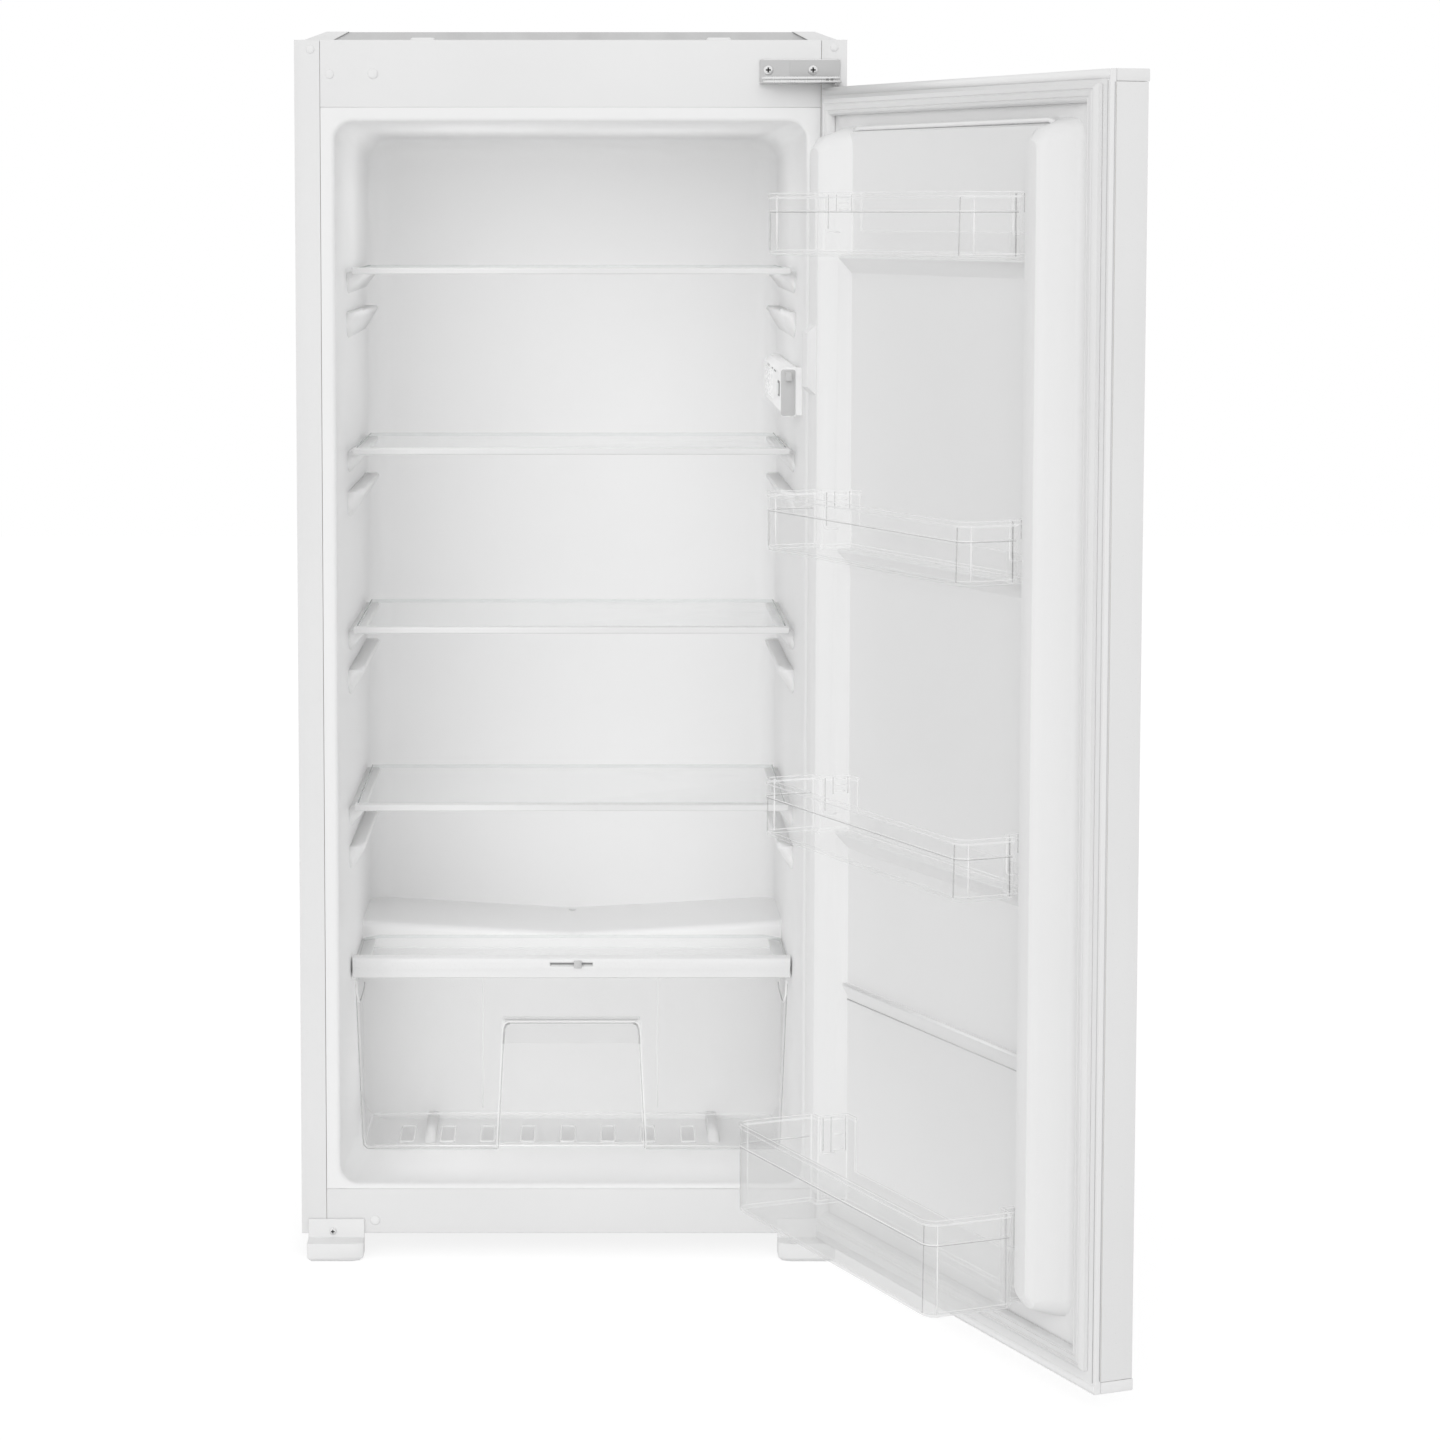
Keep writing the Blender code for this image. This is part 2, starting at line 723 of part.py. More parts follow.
def cavity(name, grow, front):
    """The space inside the liner, grown on every side, from a given front depth."""
    shoulder_half = MOUTH_HALF_WIDTH - SHOULDER_STEP
    shoulder_fall = CEILING_FALL / 2
    sections = [
        (front, MOUTH_HALF_WIDTH, MOUTH_BOTTOM, MOUTH_TOP, MOUTH_RADIUS),
        (LIP_DEPTH, MOUTH_HALF_WIDTH, MOUTH_BOTTOM, MOUTH_TOP, MOUTH_RADIUS),
        (FLOOR_START, MOUTH_HALF_WIDTH, FLOOR, MOUTH_TOP, MOUTH_RADIUS),
        (SHOULDER_DEPTH, shoulder_half, FLOOR, MOUTH_TOP - shoulder_fall, MOUTH_RADIUS),
        (WALL_DEPTH, WALL_HALF_WIDTH, FLOOR, MOUTH_TOP - CEILING_FALL, MOUTH_RADIUS),
        (
            REAR_DEPTH + grow,
            WALL_HALF_WIDTH - REAR_DRAFT,
            FLOOR,
            MOUTH_TOP - 2 * CEILING_FALL,
            REAR_RADIUS,
        ),
    ]
    rings = []
    for depth, half, bottom, top, radius in sections:
        outline = rounded(-half - grow, half + grow, bottom - grow, top + grow, radius + grow)
        rings.append([(x, deep(depth), z) for x, z in outline])
    bm = bmesh.new()
    loft(bm, rings)
    space = new_object(name, bm)
    cut(space, hump(name + "_hump", grow))
    return space


def hump(name, grow):
    """The block that keeps the cavity off the machine compartment, with its drain gutter."""
    side = MOUTH_HALF_WIDTH + LINER_WALL + OVERRUN
    rise = (HUMP_SIDE_HEIGHT - GUTTER_HEIGHT) * side / WALL_HALF_WIDTH
    outline = [
        (-side, FLOOR - LINER_WALL - OVERRUN),
        (side, FLOOR - LINER_WALL - OVERRUN),
        (side, GUTTER_HEIGHT + rise - grow),
        (0.0, GUTTER_HEIGHT - grow),
        (-side, GUTTER_HEIGHT + rise - grow),
    ]
    back = deep(REAR_DEPTH + LINER_WALL + OVERRUN)
    return prism_object(name, outline, "Y", deep(HUMP_DEPTH + grow), back)


def rib(bm, side, top, height, front, back):
    """One moulded shelf rib: flat on top, sloping back to the wall, with a tapered nose."""
    root = RIB_HALF_SPAN
    stations = (
        (front, RIB_NOSE_REACH_SHARE, RIB_NOSE_HEIGHT_SHARE),
        (front + RIB_NOSE, 1.0, 1.0),
        (back, 1.0, 1.0),
    )
    rings = []
    for depth, reach_share, height_share in stations:
        tip = WALL_HALF_WIDTH - RIB_REACH * reach_share
        edge = min(RIB_EDGE, height / 2) * height_share
        points = (
            (root, top),
            (tip, top),
            (tip, top - edge),
            (root, top - height * height_share),
        )
        rings.append([(side * x, deep(depth), z) for x, z in points])
    loft(bm, rings)


def shelf_height(index):
    return TOP_SHELF_HEIGHT - index * SHELF_PITCH


def liner_ribs():
    """Every rib, rail and runner on the inside of the liner."""
    bm = bmesh.new()
    rib_front = SHELF_FRONT + SHELF_TRIM_DEPTH + RIB_FRONT_CLEARANCE
    rib_back = REAR_DEPTH - RIB_REAR_CLEARANCE
    rail_front = COVER_FRONT + COVER_TRIM_DEPTH + RIB_FRONT_CLEARANCE
    rail_top = COVER_GLASS_HEIGHT - GLASS_THICKNESS - GAP
    for side in (-1, 1):
        for index in range(SHELF_COUNT):
            top = shelf_height(index) - GLASS_THICKNESS - GAP
            for level in (top, top - RIB_PITCH):
                rib(bm, side, level, RIB_HEIGHT, rib_front, rib_back)
        rib(bm, side, rail_top, RAIL_RIB_HEIGHT, rail_front, HUMP_DEPTH - OVERRUN)
        place = side * RUNNER_SPREAD
        box(
            bm,
            (place - RUNNER_WIDTH / 2, deep(FLOOR_START + OVERRUN), FLOOR - LINER_WALL / 2),
            (place + RUNNER_WIDTH / 2, deep(HUMP_DEPTH - OVERRUN), DRAWER_BOTTOM - GAP),
        )
    return new_object("guide_liner_ribs", bm)


def inner_liner():
    """The moulded liner: flange, walls, hump with its gutter, ribs and runners."""
    liner = box_object(
        "inner_liner",
        (-RAIL_HALF_WIDTH, FRONT, BOTTOM_RAIL_HEIGHT + GAP),
        (RAIL_HALF_WIDTH, deep(LINER_FLANGE), RAIL_SEAM_TOP - GAP),
    )
    fuse(liner, cavity("guide_liner_outside", LINER_WALL, LINER_FLANGE / 2))
    cut(liner, cavity("guide_liner_inside", 0.0, -OVERRUN))
    fuse(liner, liner_ribs())
    bm = bmesh.new()
    cylinder(
        bm,
        (0.0, deep(DRAIN_DEPTH)),
        DRAIN_RADIUS,
        "Z",
        GUTTER_HEIGHT - LINER_WALL - OVERRUN,
        GUTTER_HEIGHT + OVERRUN,
    )
    cut(liner, new_object("guide_drain_hole", bm))
    white_plastic(liner)


def cabinet_foam():
    """The insulation between the panels and the liner."""
    block = box_object(
        "cabinet_foam",
        (-INSIDE_HALF_WIDTH, deep(RAIL_DEPTH + GAP), BASE_THICKNESS + GAP),
        (INSIDE_HALF_WIDTH, deep(BACK_PANEL_DEPTH - GAP), TOP_PANEL_BOTTOM - GAP),
    )
    cut(block, cavity("guide_foam_cavity", LINER_WALL + GAP, -OVERRUN))
    compartment = box_object(
        "guide_foam_compartment",
        (-HALF_WIDTH, deep(COMPARTMENT_FRONT - GAP), -OVERRUN),
        (HALF_WIDTH, deep(CABINET_DEPTH), COMPARTMENT_HEIGHT + GAP),
    )
    cut(block, compartment)
    pocket_depth = REAR_DEPTH + LINER_WALL + EVAPORATOR_THICKNESS + 3 * GAP
    pocket = box_object(
        "guide_foam_evaporator",
        (-EVAPORATOR_HALF_WIDTH - GAP, deep(REAR_DEPTH), EVAPORATOR_BOTTOM - GAP),
        (EVAPORATOR_HALF_WIDTH + GAP, deep(pocket_depth), EVAPORATOR_TOP + GAP),
    )
    cut(block, pocket)
    bm = bmesh.new()
    cylinder(
        bm,
        (0.0, deep(DRAIN_DEPTH)),
        DRAIN_TUBE_RADIUS + GAP,
        "Z",
        COMPARTMENT_HEIGHT - OVERRUN,
        GUTTER_HEIGHT,
    )
    cut(block, new_object("guide_foam_drain", bm))
    foam(block)


def evaporator_and_drain():
    """The cooling plate behind the liner's rear wall, and the drain tube."""
    front = REAR_DEPTH + LINER_WALL + GAP
    plate = box_object(
        "evaporator_plate",
        (-EVAPORATOR_HALF_WIDTH, deep(front), EVAPORATOR_BOTTOM),
        (EVAPORATOR_HALF_WIDTH, deep(front + EVAPORATOR_THICKNESS), EVAPORATOR_TOP),
    )
    finish_material(plate, (0.75, 0.76, 0.77), 0.4, metallic=1.0)
    top = GUTTER_HEIGHT - LINER_WALL - GAP
    centre = (0.0, deep(DRAIN_DEPTH))
    rings = [
        [(x, y, height) for x, y in circle(centre, radius, SMALL_ROUND_STEPS)]
        for radius, height in (
            (DRAIN_TUBE_RADIUS, DRAIN_TUBE_BOTTOM),
            (DRAIN_TUBE_RADIUS, top),
            (DRAIN_RADIUS, top),
            (DRAIN_RADIUS, DRAIN_TUBE_BOTTOM),
        )
    ]
    bm = bmesh.new()
    loft(bm, rings, closed=True)
    white_plastic(smooth(new_object("drain_tube", bm)))


# Shelves


def trim_profile(front, back, bottom, top, slot_bottom, slot_top):
    """The section of a trim that grips the front edge of a pane."""
    slot = front + TRIM_WALL
    return [
        (front + TRIM_ROUND, bottom),
        (back, bottom),
        (back, slot_bottom),
        (slot, slot_bottom),
        (slot, slot_top),
        (back, slot_top),
        (back, top),
        (front + TRIM_ROUND, top),
        (front, top - TRIM_ROUND),
        (front, bottom + TRIM_ROUND),
    ]


def shelf(index):
    """One glass pane and its front trim."""
    top = shelf_height(index)
    bottom = top - GLASS_THICKNESS
    glass_front = deep(SHELF_FRONT + TRIM_WALL + GAP)
    half = SHELF_HALF_WIDTH - GLASS_SIDE_INSET
    glass = box_object(
        f"shelf_{index + 1}_glass",
        (-half, glass_front, bottom),
        (half, deep(REAR_DEPTH - SHELF_REAR_CLEARANCE), top),
    )
    clear_plastic(glass)
    profile = trim_profile(
        deep(SHELF_FRONT),
        deep(SHELF_FRONT + SHELF_TRIM_DEPTH),
        top - SHELF_TRIM_DROP,
        top + SHELF_TRIM_RISE,
        bottom - GAP,
        top + GAP,
    )
    name = f"shelf_{index + 1}_trim"
    white_plastic(prism_object(name, profile, "X", -SHELF_HALF_WIDTH, SHELF_HALF_WIDTH))


def crisper_cover():
    """The glass cover of the crisper, its thick front trim and the humidity slider."""
    top = COVER_GLASS_HEIGHT
    bottom = top - GLASS_THICKNESS
    front = deep(COVER_FRONT + TRIM_WALL + GAP)
    back = deep(HUMP_DEPTH - COVER_REAR_CLEARANCE)
    half = COVER_HALF_WIDTH - COVER_GLASS_INSET
    outline = [
        (-half, front),
        (half, front),
        (half, back - COVER_CHAMFER),
        (half - COVER_CHAMFER, back),
        (COVER_CHAMFER - half, back),
        (-half, back - COVER_CHAMFER),
    ]
    clear_plastic(prism_object("crisper_cover_glass", outline, "Z", bottom, top))
    profile = trim_profile(
        deep(COVER_FRONT),
        deep(COVER_FRONT + COVER_TRIM_DEPTH),
        top - COVER_TRIM_DROP,
        top + COVER_TRIM_TOP,
        bottom - GAP,
        top + GAP,
    )
    trim = prism_object("crisper_cover_trim", profile, "X", -COVER_HALF_WIDTH, COVER_HALF_WIDTH)
    slot_middle = top + SLOT_RISE
    slot = box_object(
        "guide_slider_slot",
        (-SLOT_WIDTH / 2, deep(COVER_FRONT - OVERRUN), slot_middle - SLOT_HEIGHT / 2),
        (SLOT_WIDTH / 2, deep(COVER_FRONT + SLOT_DEPTH), slot_middle + SLOT_HEIGHT / 2),
    )
    cut(trim, slot)
    white_plastic(trim)
    humidity_slider(slot_middle)


def humidity_slider(middle):
    """The little finger slider in the cover's slot."""
    foot_height = SLOT_HEIGHT - 2 * GAP
    stem_width = SLIDER_WIDTH - 2 * SLIDER_TIP
    stations = (
        (COVER_FRONT - SLIDER_REACH, SLIDER_TIP, SLIDER_TALL - SLIDER_TIP),
        (COVER_FRONT - SLIDER_REACH / 2, SLIDER_WIDTH, SLIDER_TALL),
        (COVER_FRONT - GAP, SLIDER_WIDTH, SLIDER_TALL),
        (COVER_FRONT - GAP, stem_width, foot_height),
        (COVER_FRONT + SLOT_DEPTH - GAP, stem_width, foot_height),
    )
    rings = []
    for depth, width, height in stations:
        low, high = SLIDER_PLACE - width / 2, SLIDER_PLACE + width / 2
        floor, roof = middle - height / 2, middle + height / 2
        outline = ((low, floor), (high, floor), (high, roof), (low, roof))
        rings.append([(x, deep(depth), z) for x, z in outline])
    bm = bmesh.new()
    loft(bm, rings)
    finish_material(new_object("humidity_slider", bm), (0.45, 0.46, 0.47), 0.4)


def drawer_ring(inset, height, reference):
    """The drawer's plan at a height, which narrows towards its floor."""
    share = (DRAWER_TOP - reference) / (DRAWER_TOP - DRAWER_BOTTOM)
    side_draft = DRAWER_SIDE_DRAFT * share
    end_draft = DRAWER_END_DRAFT * share
    half = WALL_HALF_WIDTH - DRAWER_SIDE_CLEARANCE - side_draft - inset
    outline = rounded(
        -half,
        half,
        deep(DRAWER_FRONT + end_draft + inset),
        deep(HUMP_DEPTH - DRAWER_REAR_CLEARANCE - end_draft - inset),
        DRAWER_RADIUS - inset,
    )
    return [(x, y, height) for x, y in outline]


def grip_block(name, grow):
    """The recess under the drawer's grip, open at its bottom."""
    outline = [
        (-GRIP_TOP_HALF_WIDTH - grow, GRIP_TOP + grow),
        (-GRIP_BOTTOM_HALF_WIDTH - grow, DRAWER_BOTTOM - OVERRUN),
        (GRIP_BOTTOM_HALF_WIDTH + grow, DRAWER_BOTTOM - OVERRUN),
        (GRIP_TOP_HALF_WIDTH + grow, GRIP_TOP + grow),
    ]
    front = deep(DRAWER_FRONT - OVERRUN)
    return prism_object(name, outline, "Y", front, deep(DRAWER_FRONT + GRIP_DEPTH + grow))


def crisper_drawer():
    """The clear drawer with its tapered walls and recessed grip."""
    bm = bmesh.new()
    loft(
        bm,
        [
            drawer_ring(0.0, DRAWER_BOTTOM, DRAWER_BOTTOM),
            drawer_ring(0.0, DRAWER_TOP, DRAWER_TOP),
        ],
    )
    drawer = new_object("crisper_drawer", bm)
    bm = bmesh.new()
    floor = DRAWER_BOTTOM + DRAWER_WALL
    above = DRAWER_TOP + OVERRUN
    loft(
        bm,
        [
            drawer_ring(DRAWER_WALL, floor, floor),
            drawer_ring(DRAWER_WALL, above, above),
        ],
    )
    inside = new_object("guide_drawer_inside", bm)
    cut(inside, grip_block("guide_grip_wall", DRAWER_WALL))
    cut(drawer, inside)
    cut(drawer, grip_block("guide_grip", 0.0))
    clear_plastic(drawer)


# Thermostat and lamp housing


def housing():
    """The long box on the right wall that holds the lamp, the dial and the door switch."""
    bottom = HOUSING_BOTTOM
    top = HOUSING_BOTTOM + HOUSING_HEIGHT
    outline = [
        (HOUSING_OUTER, bottom),
        (HOUSING_OUTER, top),
        (HOUSING_INNER + HOUSING_CHAMFER, top),
        (HOUSING_INNER, top - HOUSING_CHAMFER),
        (HOUSING_INNER, bottom + HOUSING_CHAMFER),
        (HOUSING_INNER + HOUSING_CHAMFER, bottom),
    ]
    front = deep(HOUSING_FRONT)
    back = deep(HOUSING_END)
    body = prism_object("thermostat_housing", outline, "Y", front, back)
    bm = bmesh.new()
    box(
        bm,
        (HOUSING_INNER - OVERRUN, deep(DIAL_DEPTH) - DIAL_RADIUS - 2 * GAP, DIAL_BOTTOM),
        (
            HOUSING_OUTER + OVERRUN,
            deep(DIAL_DEPTH) + DIAL_RADIUS + 2 * GAP,
            DIAL_BOTTOM + DIAL_HEIGHT,
        ),
    )
    lamp_bottom = HOUSING_BOTTOM + (HOUSING_HEIGHT - LAMP_HEIGHT) / 2
    box(
        bm,
        (HOUSING_INNER - OVERRUN, deep(LAMP_START), lamp_bottom),
        (
            HOUSING_INNER + LAMP_POCKET_DEPTH,
            deep(LAMP_END),
            lamp_bottom + LAMP_HEIGHT,
        ),
    )
    plunger_low = HOUSING_INNER + PLUNGER_INSET
    plunger_end = plunger_tip() + PLUNGER_LENGTH + PLUNGER_TRAVEL
    box(
        bm,
        (plunger_low - GAP, front - OVERRUN, PLUNGER_BOTTOM - GAP),
        (
            plunger_low + PLUNGER_WIDTH + GAP,
            deep(plunger_end + GAP),
            PLUNGER_BOTTOM + PLUNGER_HEIGHT + GAP,
        ),
    )
    cut(body, new_object("guide_housing_pockets", bm))
    white_plastic(body)
    cover = box_object(
        "lamp_cover",
        (HOUSING_INNER, deep(LAMP_START + GAP), lamp_bottom + GAP),
        (
            HOUSING_INNER + LAMP_COVER_THICKNESS,
            deep(LAMP_END - GAP),
            lamp_bottom + LAMP_HEIGHT - GAP,
        ),
    )
    finish_material(cover, (0.92, 0.93, 0.94), 0.3, see_through=0.5)
    lamp_outer = HOUSING_INNER + LAMP_POCKET_DEPTH - GAP
    lamp = box_object(
        "lamp",
        (lamp_outer - LAMP_THICKNESS, deep(LAMP_START + LAMP_MARGIN), lamp_bottom + GAP),
        (
            lamp_outer,
            deep(LAMP_END - LAMP_MARGIN),
            lamp_bottom + LAMP_HEIGHT - GAP,
        ),
    )
    finish_material(lamp, (0.95, 0.95, 0.90), 0.3)


def plunger_tip():
    """The depth of the switch plunger's tip, just short of the closed door's striker."""
    striker = DYKE_HEIGHT + STRIKER_HEIGHT - DOOR_STANDOFF
    return striker + PLUNGER_TO_STRIKER


def switch_plunger():
    low = HOUSING_INNER + PLUNGER_INSET
    plunger = box_object(
        "switch_plunger",
        (low, deep(plunger_tip()), PLUNGER_BOTTOM),
        (
            low + PLUNGER_WIDTH,
            deep(plunger_tip() + PLUNGER_LENGTH),
            PLUNGER_BOTTOM + PLUNGER_HEIGHT,
        ),
    )
    finish_material(plunger, (0.70, 0.71, 0.72), 0.4)


def thermostat_dial():
    """The thumbwheel, with a notched rim, which stands a little out of its slit."""
    centre = (HOUSING_INNER - DIAL_PROUD + DIAL_RADIUS, deep(DIAL_DEPTH))
    outline = []
    for tooth in range(DIAL_TEETH):
        for half, radius in ((0, DIAL_RADIUS), (1, DIAL_RADIUS - DIAL_TOOTH)):
            angle = math.tau * (tooth + half / 2) / DIAL_TEETH
            outline.append(
                (radius * math.cos(angle), radius * math.sin(angle))
            )
    dial = prism_object(
        "thermostat_dial", outline, "Z", DIAL_BOTTOM + GAP, DIAL_BOTTOM + DIAL_HEIGHT - GAP
    )
    dial.location = (*centre, 0.0)
    finish_material(dial, (0.55, 0.56, 0.57), 0.45)


# Door, in the closed position about its hinge axis, then turned by the axis empty


def hinge_axis():
    """The empty that carries the door: its Z axis is the hinge's."""
    axis = bpy.data.objects.new("door_axis", None)
    bpy.context.collection.objects.link(axis)
    axis.location = (HINGE_X, HINGE_Y, 0.0)
    axis.rotation_euler = (0.0, 0.0, math.radians(DOOR_REST_DEGREES))
    return axis


def across(distance):
    """The door's X at a distance from its hinge side's edge."""
    return HINGE_INSET - distance


def out(height):
    """The door's Y at a height above its inner plane, towards the cabinet."""
    return INNER_PLANE + height


def door_shell(axis):
    """The steel pan, its foam and the two end caps."""
    hinge_edge = across(0.0)
    free_edge = across(CABINET_WIDTH)
    low = DOOR_BOTTOM + CAP_HEIGHT + GAP
    high = DOOR_TOP - CAP_HEIGHT - GAP
    outline = [
        (free_edge, CAP_INNER_PLANE),
        (free_edge, OUTER_PLANE),
        (hinge_edge, OUTER_PLANE),
        (hinge_edge, CAP_INNER_PLANE),
        (hinge_edge - DOOR_SHEET, CAP_INNER_PLANE),
        (hinge_edge - DOOR_SHEET, OUTER_PLANE + DOOR_SHEET),
        (free_edge + DOOR_SHEET, OUTER_PLANE + DOOR_SHEET),
        (free_edge + DOOR_SHEET, CAP_INNER_PLANE),
    ]
    white_paint(prism_object("door_skin", outline, "Z", low, high, axis))
    inset = DOOR_SHEET + GAP
    core = box_object(
        "door_foam",
        (free_edge + inset, OUTER_PLANE + inset, low),
        (hinge_edge - inset, CAP_INNER_PLANE, high),
        axis,
    )
    foam(core)
    for name, start, inward in (
        ("door_cap_bottom", DOOR_BOTTOM, 1),
        ("door_cap_top", DOOR_TOP, -1),
    ):
        end_cap(name, start, inward, axis)


def end_cap(name, start, inward, axis):
    """A moulded cap with the bore for its hinge pin, chamfered at its outer end."""
    hinge_edge = across(0.0)
    free_edge = across(CABINET_WIDTH)
    face = OUTER_PLANE - CAP_PROUD
    bm = bmesh.new()
    rings = []
    for inset, rise in ((CAP_EDGE, 0.0), (0.0, CAP_EDGE), (0.0, CAP_HEIGHT)):
        height = start + inward * rise
        rings.append(
            [
                (free_edge + inset, face + inset, height),
                (hinge_edge - inset, face + inset, height),
                (hinge_edge - inset, CAP_INNER_PLANE, height),
                (free_edge + inset, CAP_INNER_PLANE, height),
            ]
        )
    loft(bm, rings)
    cap = new_object(name, bm, axis)
    bm = bmesh.new()
    deepest = start + inward * (PIN_LENGTH - GAP)
    cylinder(bm, (0.0, 0.0), PIN_RADIUS + BORE_CLEARANCE, "Z", start - inward * OVERRUN, deepest)
    cut(cap, new_object("guide_bore_" + name, bm, axis))
    white_plastic(cap)


def door_ring(low, high, bottom, top, radius, height):
    """A rounded outline on the door liner, at a height above the inner plane."""
    outline = rounded(across(high), across(low), bottom, top, radius)
    return [(x, out(height), z) for x, z in outline]


def dyke(name, mirrored, axis):
    """One of the two upright dykes that carry the racks."""
    bottom = PANEL_BOTTOM
    top = PANEL_TOP
    stations = (
        (DYKE_OUTER, DYKE_INNER, 0.0, DYKE_RADIUS, -DOOR_FLANGE / 2),
        (DYKE_SHOULDER, DYKE_INNER_FOOT, 0.0, DYKE_RADIUS, DYKE_FOOT_HEIGHT),
        (
            (DYKE_SHOULDER + DYKE_CREST_OUTER) / 2,
            DYKE_INNER_SHOULDER,
            DYKE_END / 2,
            (DYKE_RADIUS + DYKE_CREST_RADIUS) / 3,
            DYKE_SHOULDER_HEIGHT,
        ),
        (DYKE_CREST_OUTER, DYKE_CREST_INNER, DYKE_END, DYKE_CREST_RADIUS, DYKE_HEIGHT),
    )
    rings = []
    for low, high, end, radius, height in stations:
        if mirrored:
            low, high = CABINET_WIDTH - high, CABINET_WIDTH - low
        limit = (high - low) / 2 - GAP
        rings.append(door_ring(low, high, bottom + end, top - end, min(radius, limit), height))
    bm = bmesh.new()
    loft(bm, rings)
    return new_object(name, bm, axis)


def door_liner(axis):
    """The vacuum-formed inside of the door."""
    liner = box_object(
        "door_liner",
        (across(CABINET_WIDTH), out(-DOOR_FLANGE), DOOR_BOTTOM + GAP),
        (across(0.0), out(0.0), DOOR_TOP - GAP),
        axis,
    )
    bm = bmesh.new()
    rings = []
    for inset, height in (
        (0.0, -DOOR_FLANGE / 2),
        (PANEL_SLOPE, PANEL_RISE - PANEL_SLOPE / 2),
        (1.5 * PANEL_SLOPE, PANEL_RISE),
    ):
        rings.append(
            door_ring(
                PANEL_EDGE + inset,
                CABINET_WIDTH - PANEL_EDGE - inset,
                PANEL_BOTTOM + inset / 2,
                PANEL_TOP - inset / 2,
                PANEL_RADIUS - inset / 2,
                height,
            )
        )
    loft(bm, rings)
    fuse(liner, new_object("guide_door_panel", bm, axis))
    fuse(liner, dyke("guide_dyke_hinge_side", False, axis))
    fuse(liner, dyke("guide_dyke_free_side", True, axis))
    fuse(liner, door_details(axis))
    white_plastic(liner)


def ledge(bm, top, reach, edge, height):
    """A sloped ledge across the door liner's middle, between the dykes."""
    foot = PANEL_RISE - LEDGE_ROOT
    outline = [
        (out(foot), top),
        (out(PANEL_RISE + reach), top),
        (out(PANEL_RISE + reach), top - edge),
        (out(foot), top - height),
    ]
    prism(bm, outline, "X", across(CABINET_WIDTH - LEDGE_INNER), across(LEDGE_INNER))


def door_details(axis):
    """The ledges under the racks, the stiffening ridge and the switch striker."""
    bm = bmesh.new()
    for share in RACK_PLACE_SHARES:
        bottom = rack_bottom(share)
        height = min(LEDGE_HEIGHT, bottom - PANEL_BOTTOM - GAP)
        ledge(bm, bottom - GAP, LEDGE_REACH, LEDGE_EDGE, height)
    ledge(bm, RIDGE_BOTTOM + RIDGE_HEIGHT, RIDGE_REACH, LEDGE_EDGE, RIDGE_HEIGHT)
    foot = out(DYKE_HEIGHT - LEDGE_ROOT)
    crest = out(DYKE_HEIGHT + STRIKER_HEIGHT)
    top = STRIKER_BOTTOM + STRIKER_LENGTH
    outline = [
        (foot, STRIKER_BOTTOM),
        (crest, STRIKER_BOTTOM + STRIKER_HEIGHT),
        (crest, top - STRIKER_HEIGHT),
        (foot, top),
    ]
    prism(bm, outline, "X", across(STRIKER_INNER), across(STRIKER_OUTER))
    return new_object("guide_door_details", bm, axis)


def gasket(axis):
    """The magnetic seal round the door liner, in one mitred ring."""
    profile = (
        (0.0, GAP),
        (0.0, GASKET_THICKNESS - GASKET_SHOULDER),
        (GASKET_SHOULDER, GASKET_THICKNESS + GAP),
        (GASKET_WIDTH - GASKET_SHOULDER, GASKET_THICKNESS + GAP),
        (GASKET_WIDTH, GASKET_THICKNESS - GASKET_SHOULDER),
        (GASKET_WIDTH, GAP),
    )
    rings = []
    for inset, height in profile:
        low = across(GASKET_INSET + inset)
        high = across(CABINET_WIDTH - GASKET_INSET - inset)
        bottom = DOOR_BOTTOM + GASKET_BOTTOM_INSET + inset
        top = DOOR_TOP - GASKET_INSET - inset
        outline = ((low, bottom), (high, bottom), (high, top), (low, top))
        rings.append([(x, out(height), z) for x, z in outline])
    bm = bmesh.new()
    loft(bm, rings, closed=True)
    finish_material(new_object("door_gasket", bm, axis), (0.78, 0.785, 0.79), 0.6)


def rack_ring(inset, reach, height):
    """A rack's plan: it steps in between the dykes and is round at its front corners."""
    wing = RACK_WING + inset
    side = RACK_SIDE + inset
    rear = PANEL_RISE + RACK_RIM + GAP + inset
    step = DYKE_HEIGHT + RACK_STEP_CLEARANCE + inset
    radius = RACK_CORNER - inset
    corner = (side + radius, reach - inset - radius)
    half = [(wing, rear), (wing, step), (side, step)]
    half += arc(corner, radius, math.pi, -math.pi / 2, CORNER_STEPS)
    whole = half + [(CABINET_WIDTH - a, h) for a, h in reversed(half)]
    return [(across(a), out(h), height) for a, h in whole]


def rack_bottom(share):
    """The height of a rack's underside, between the lowest rack and the highest."""
    lowest = PANEL_BOTTOM + RACK_BOTTOM_RISE
    return lowest + share * (PANEL_TOP - RACK_TOP_DROP - lowest)


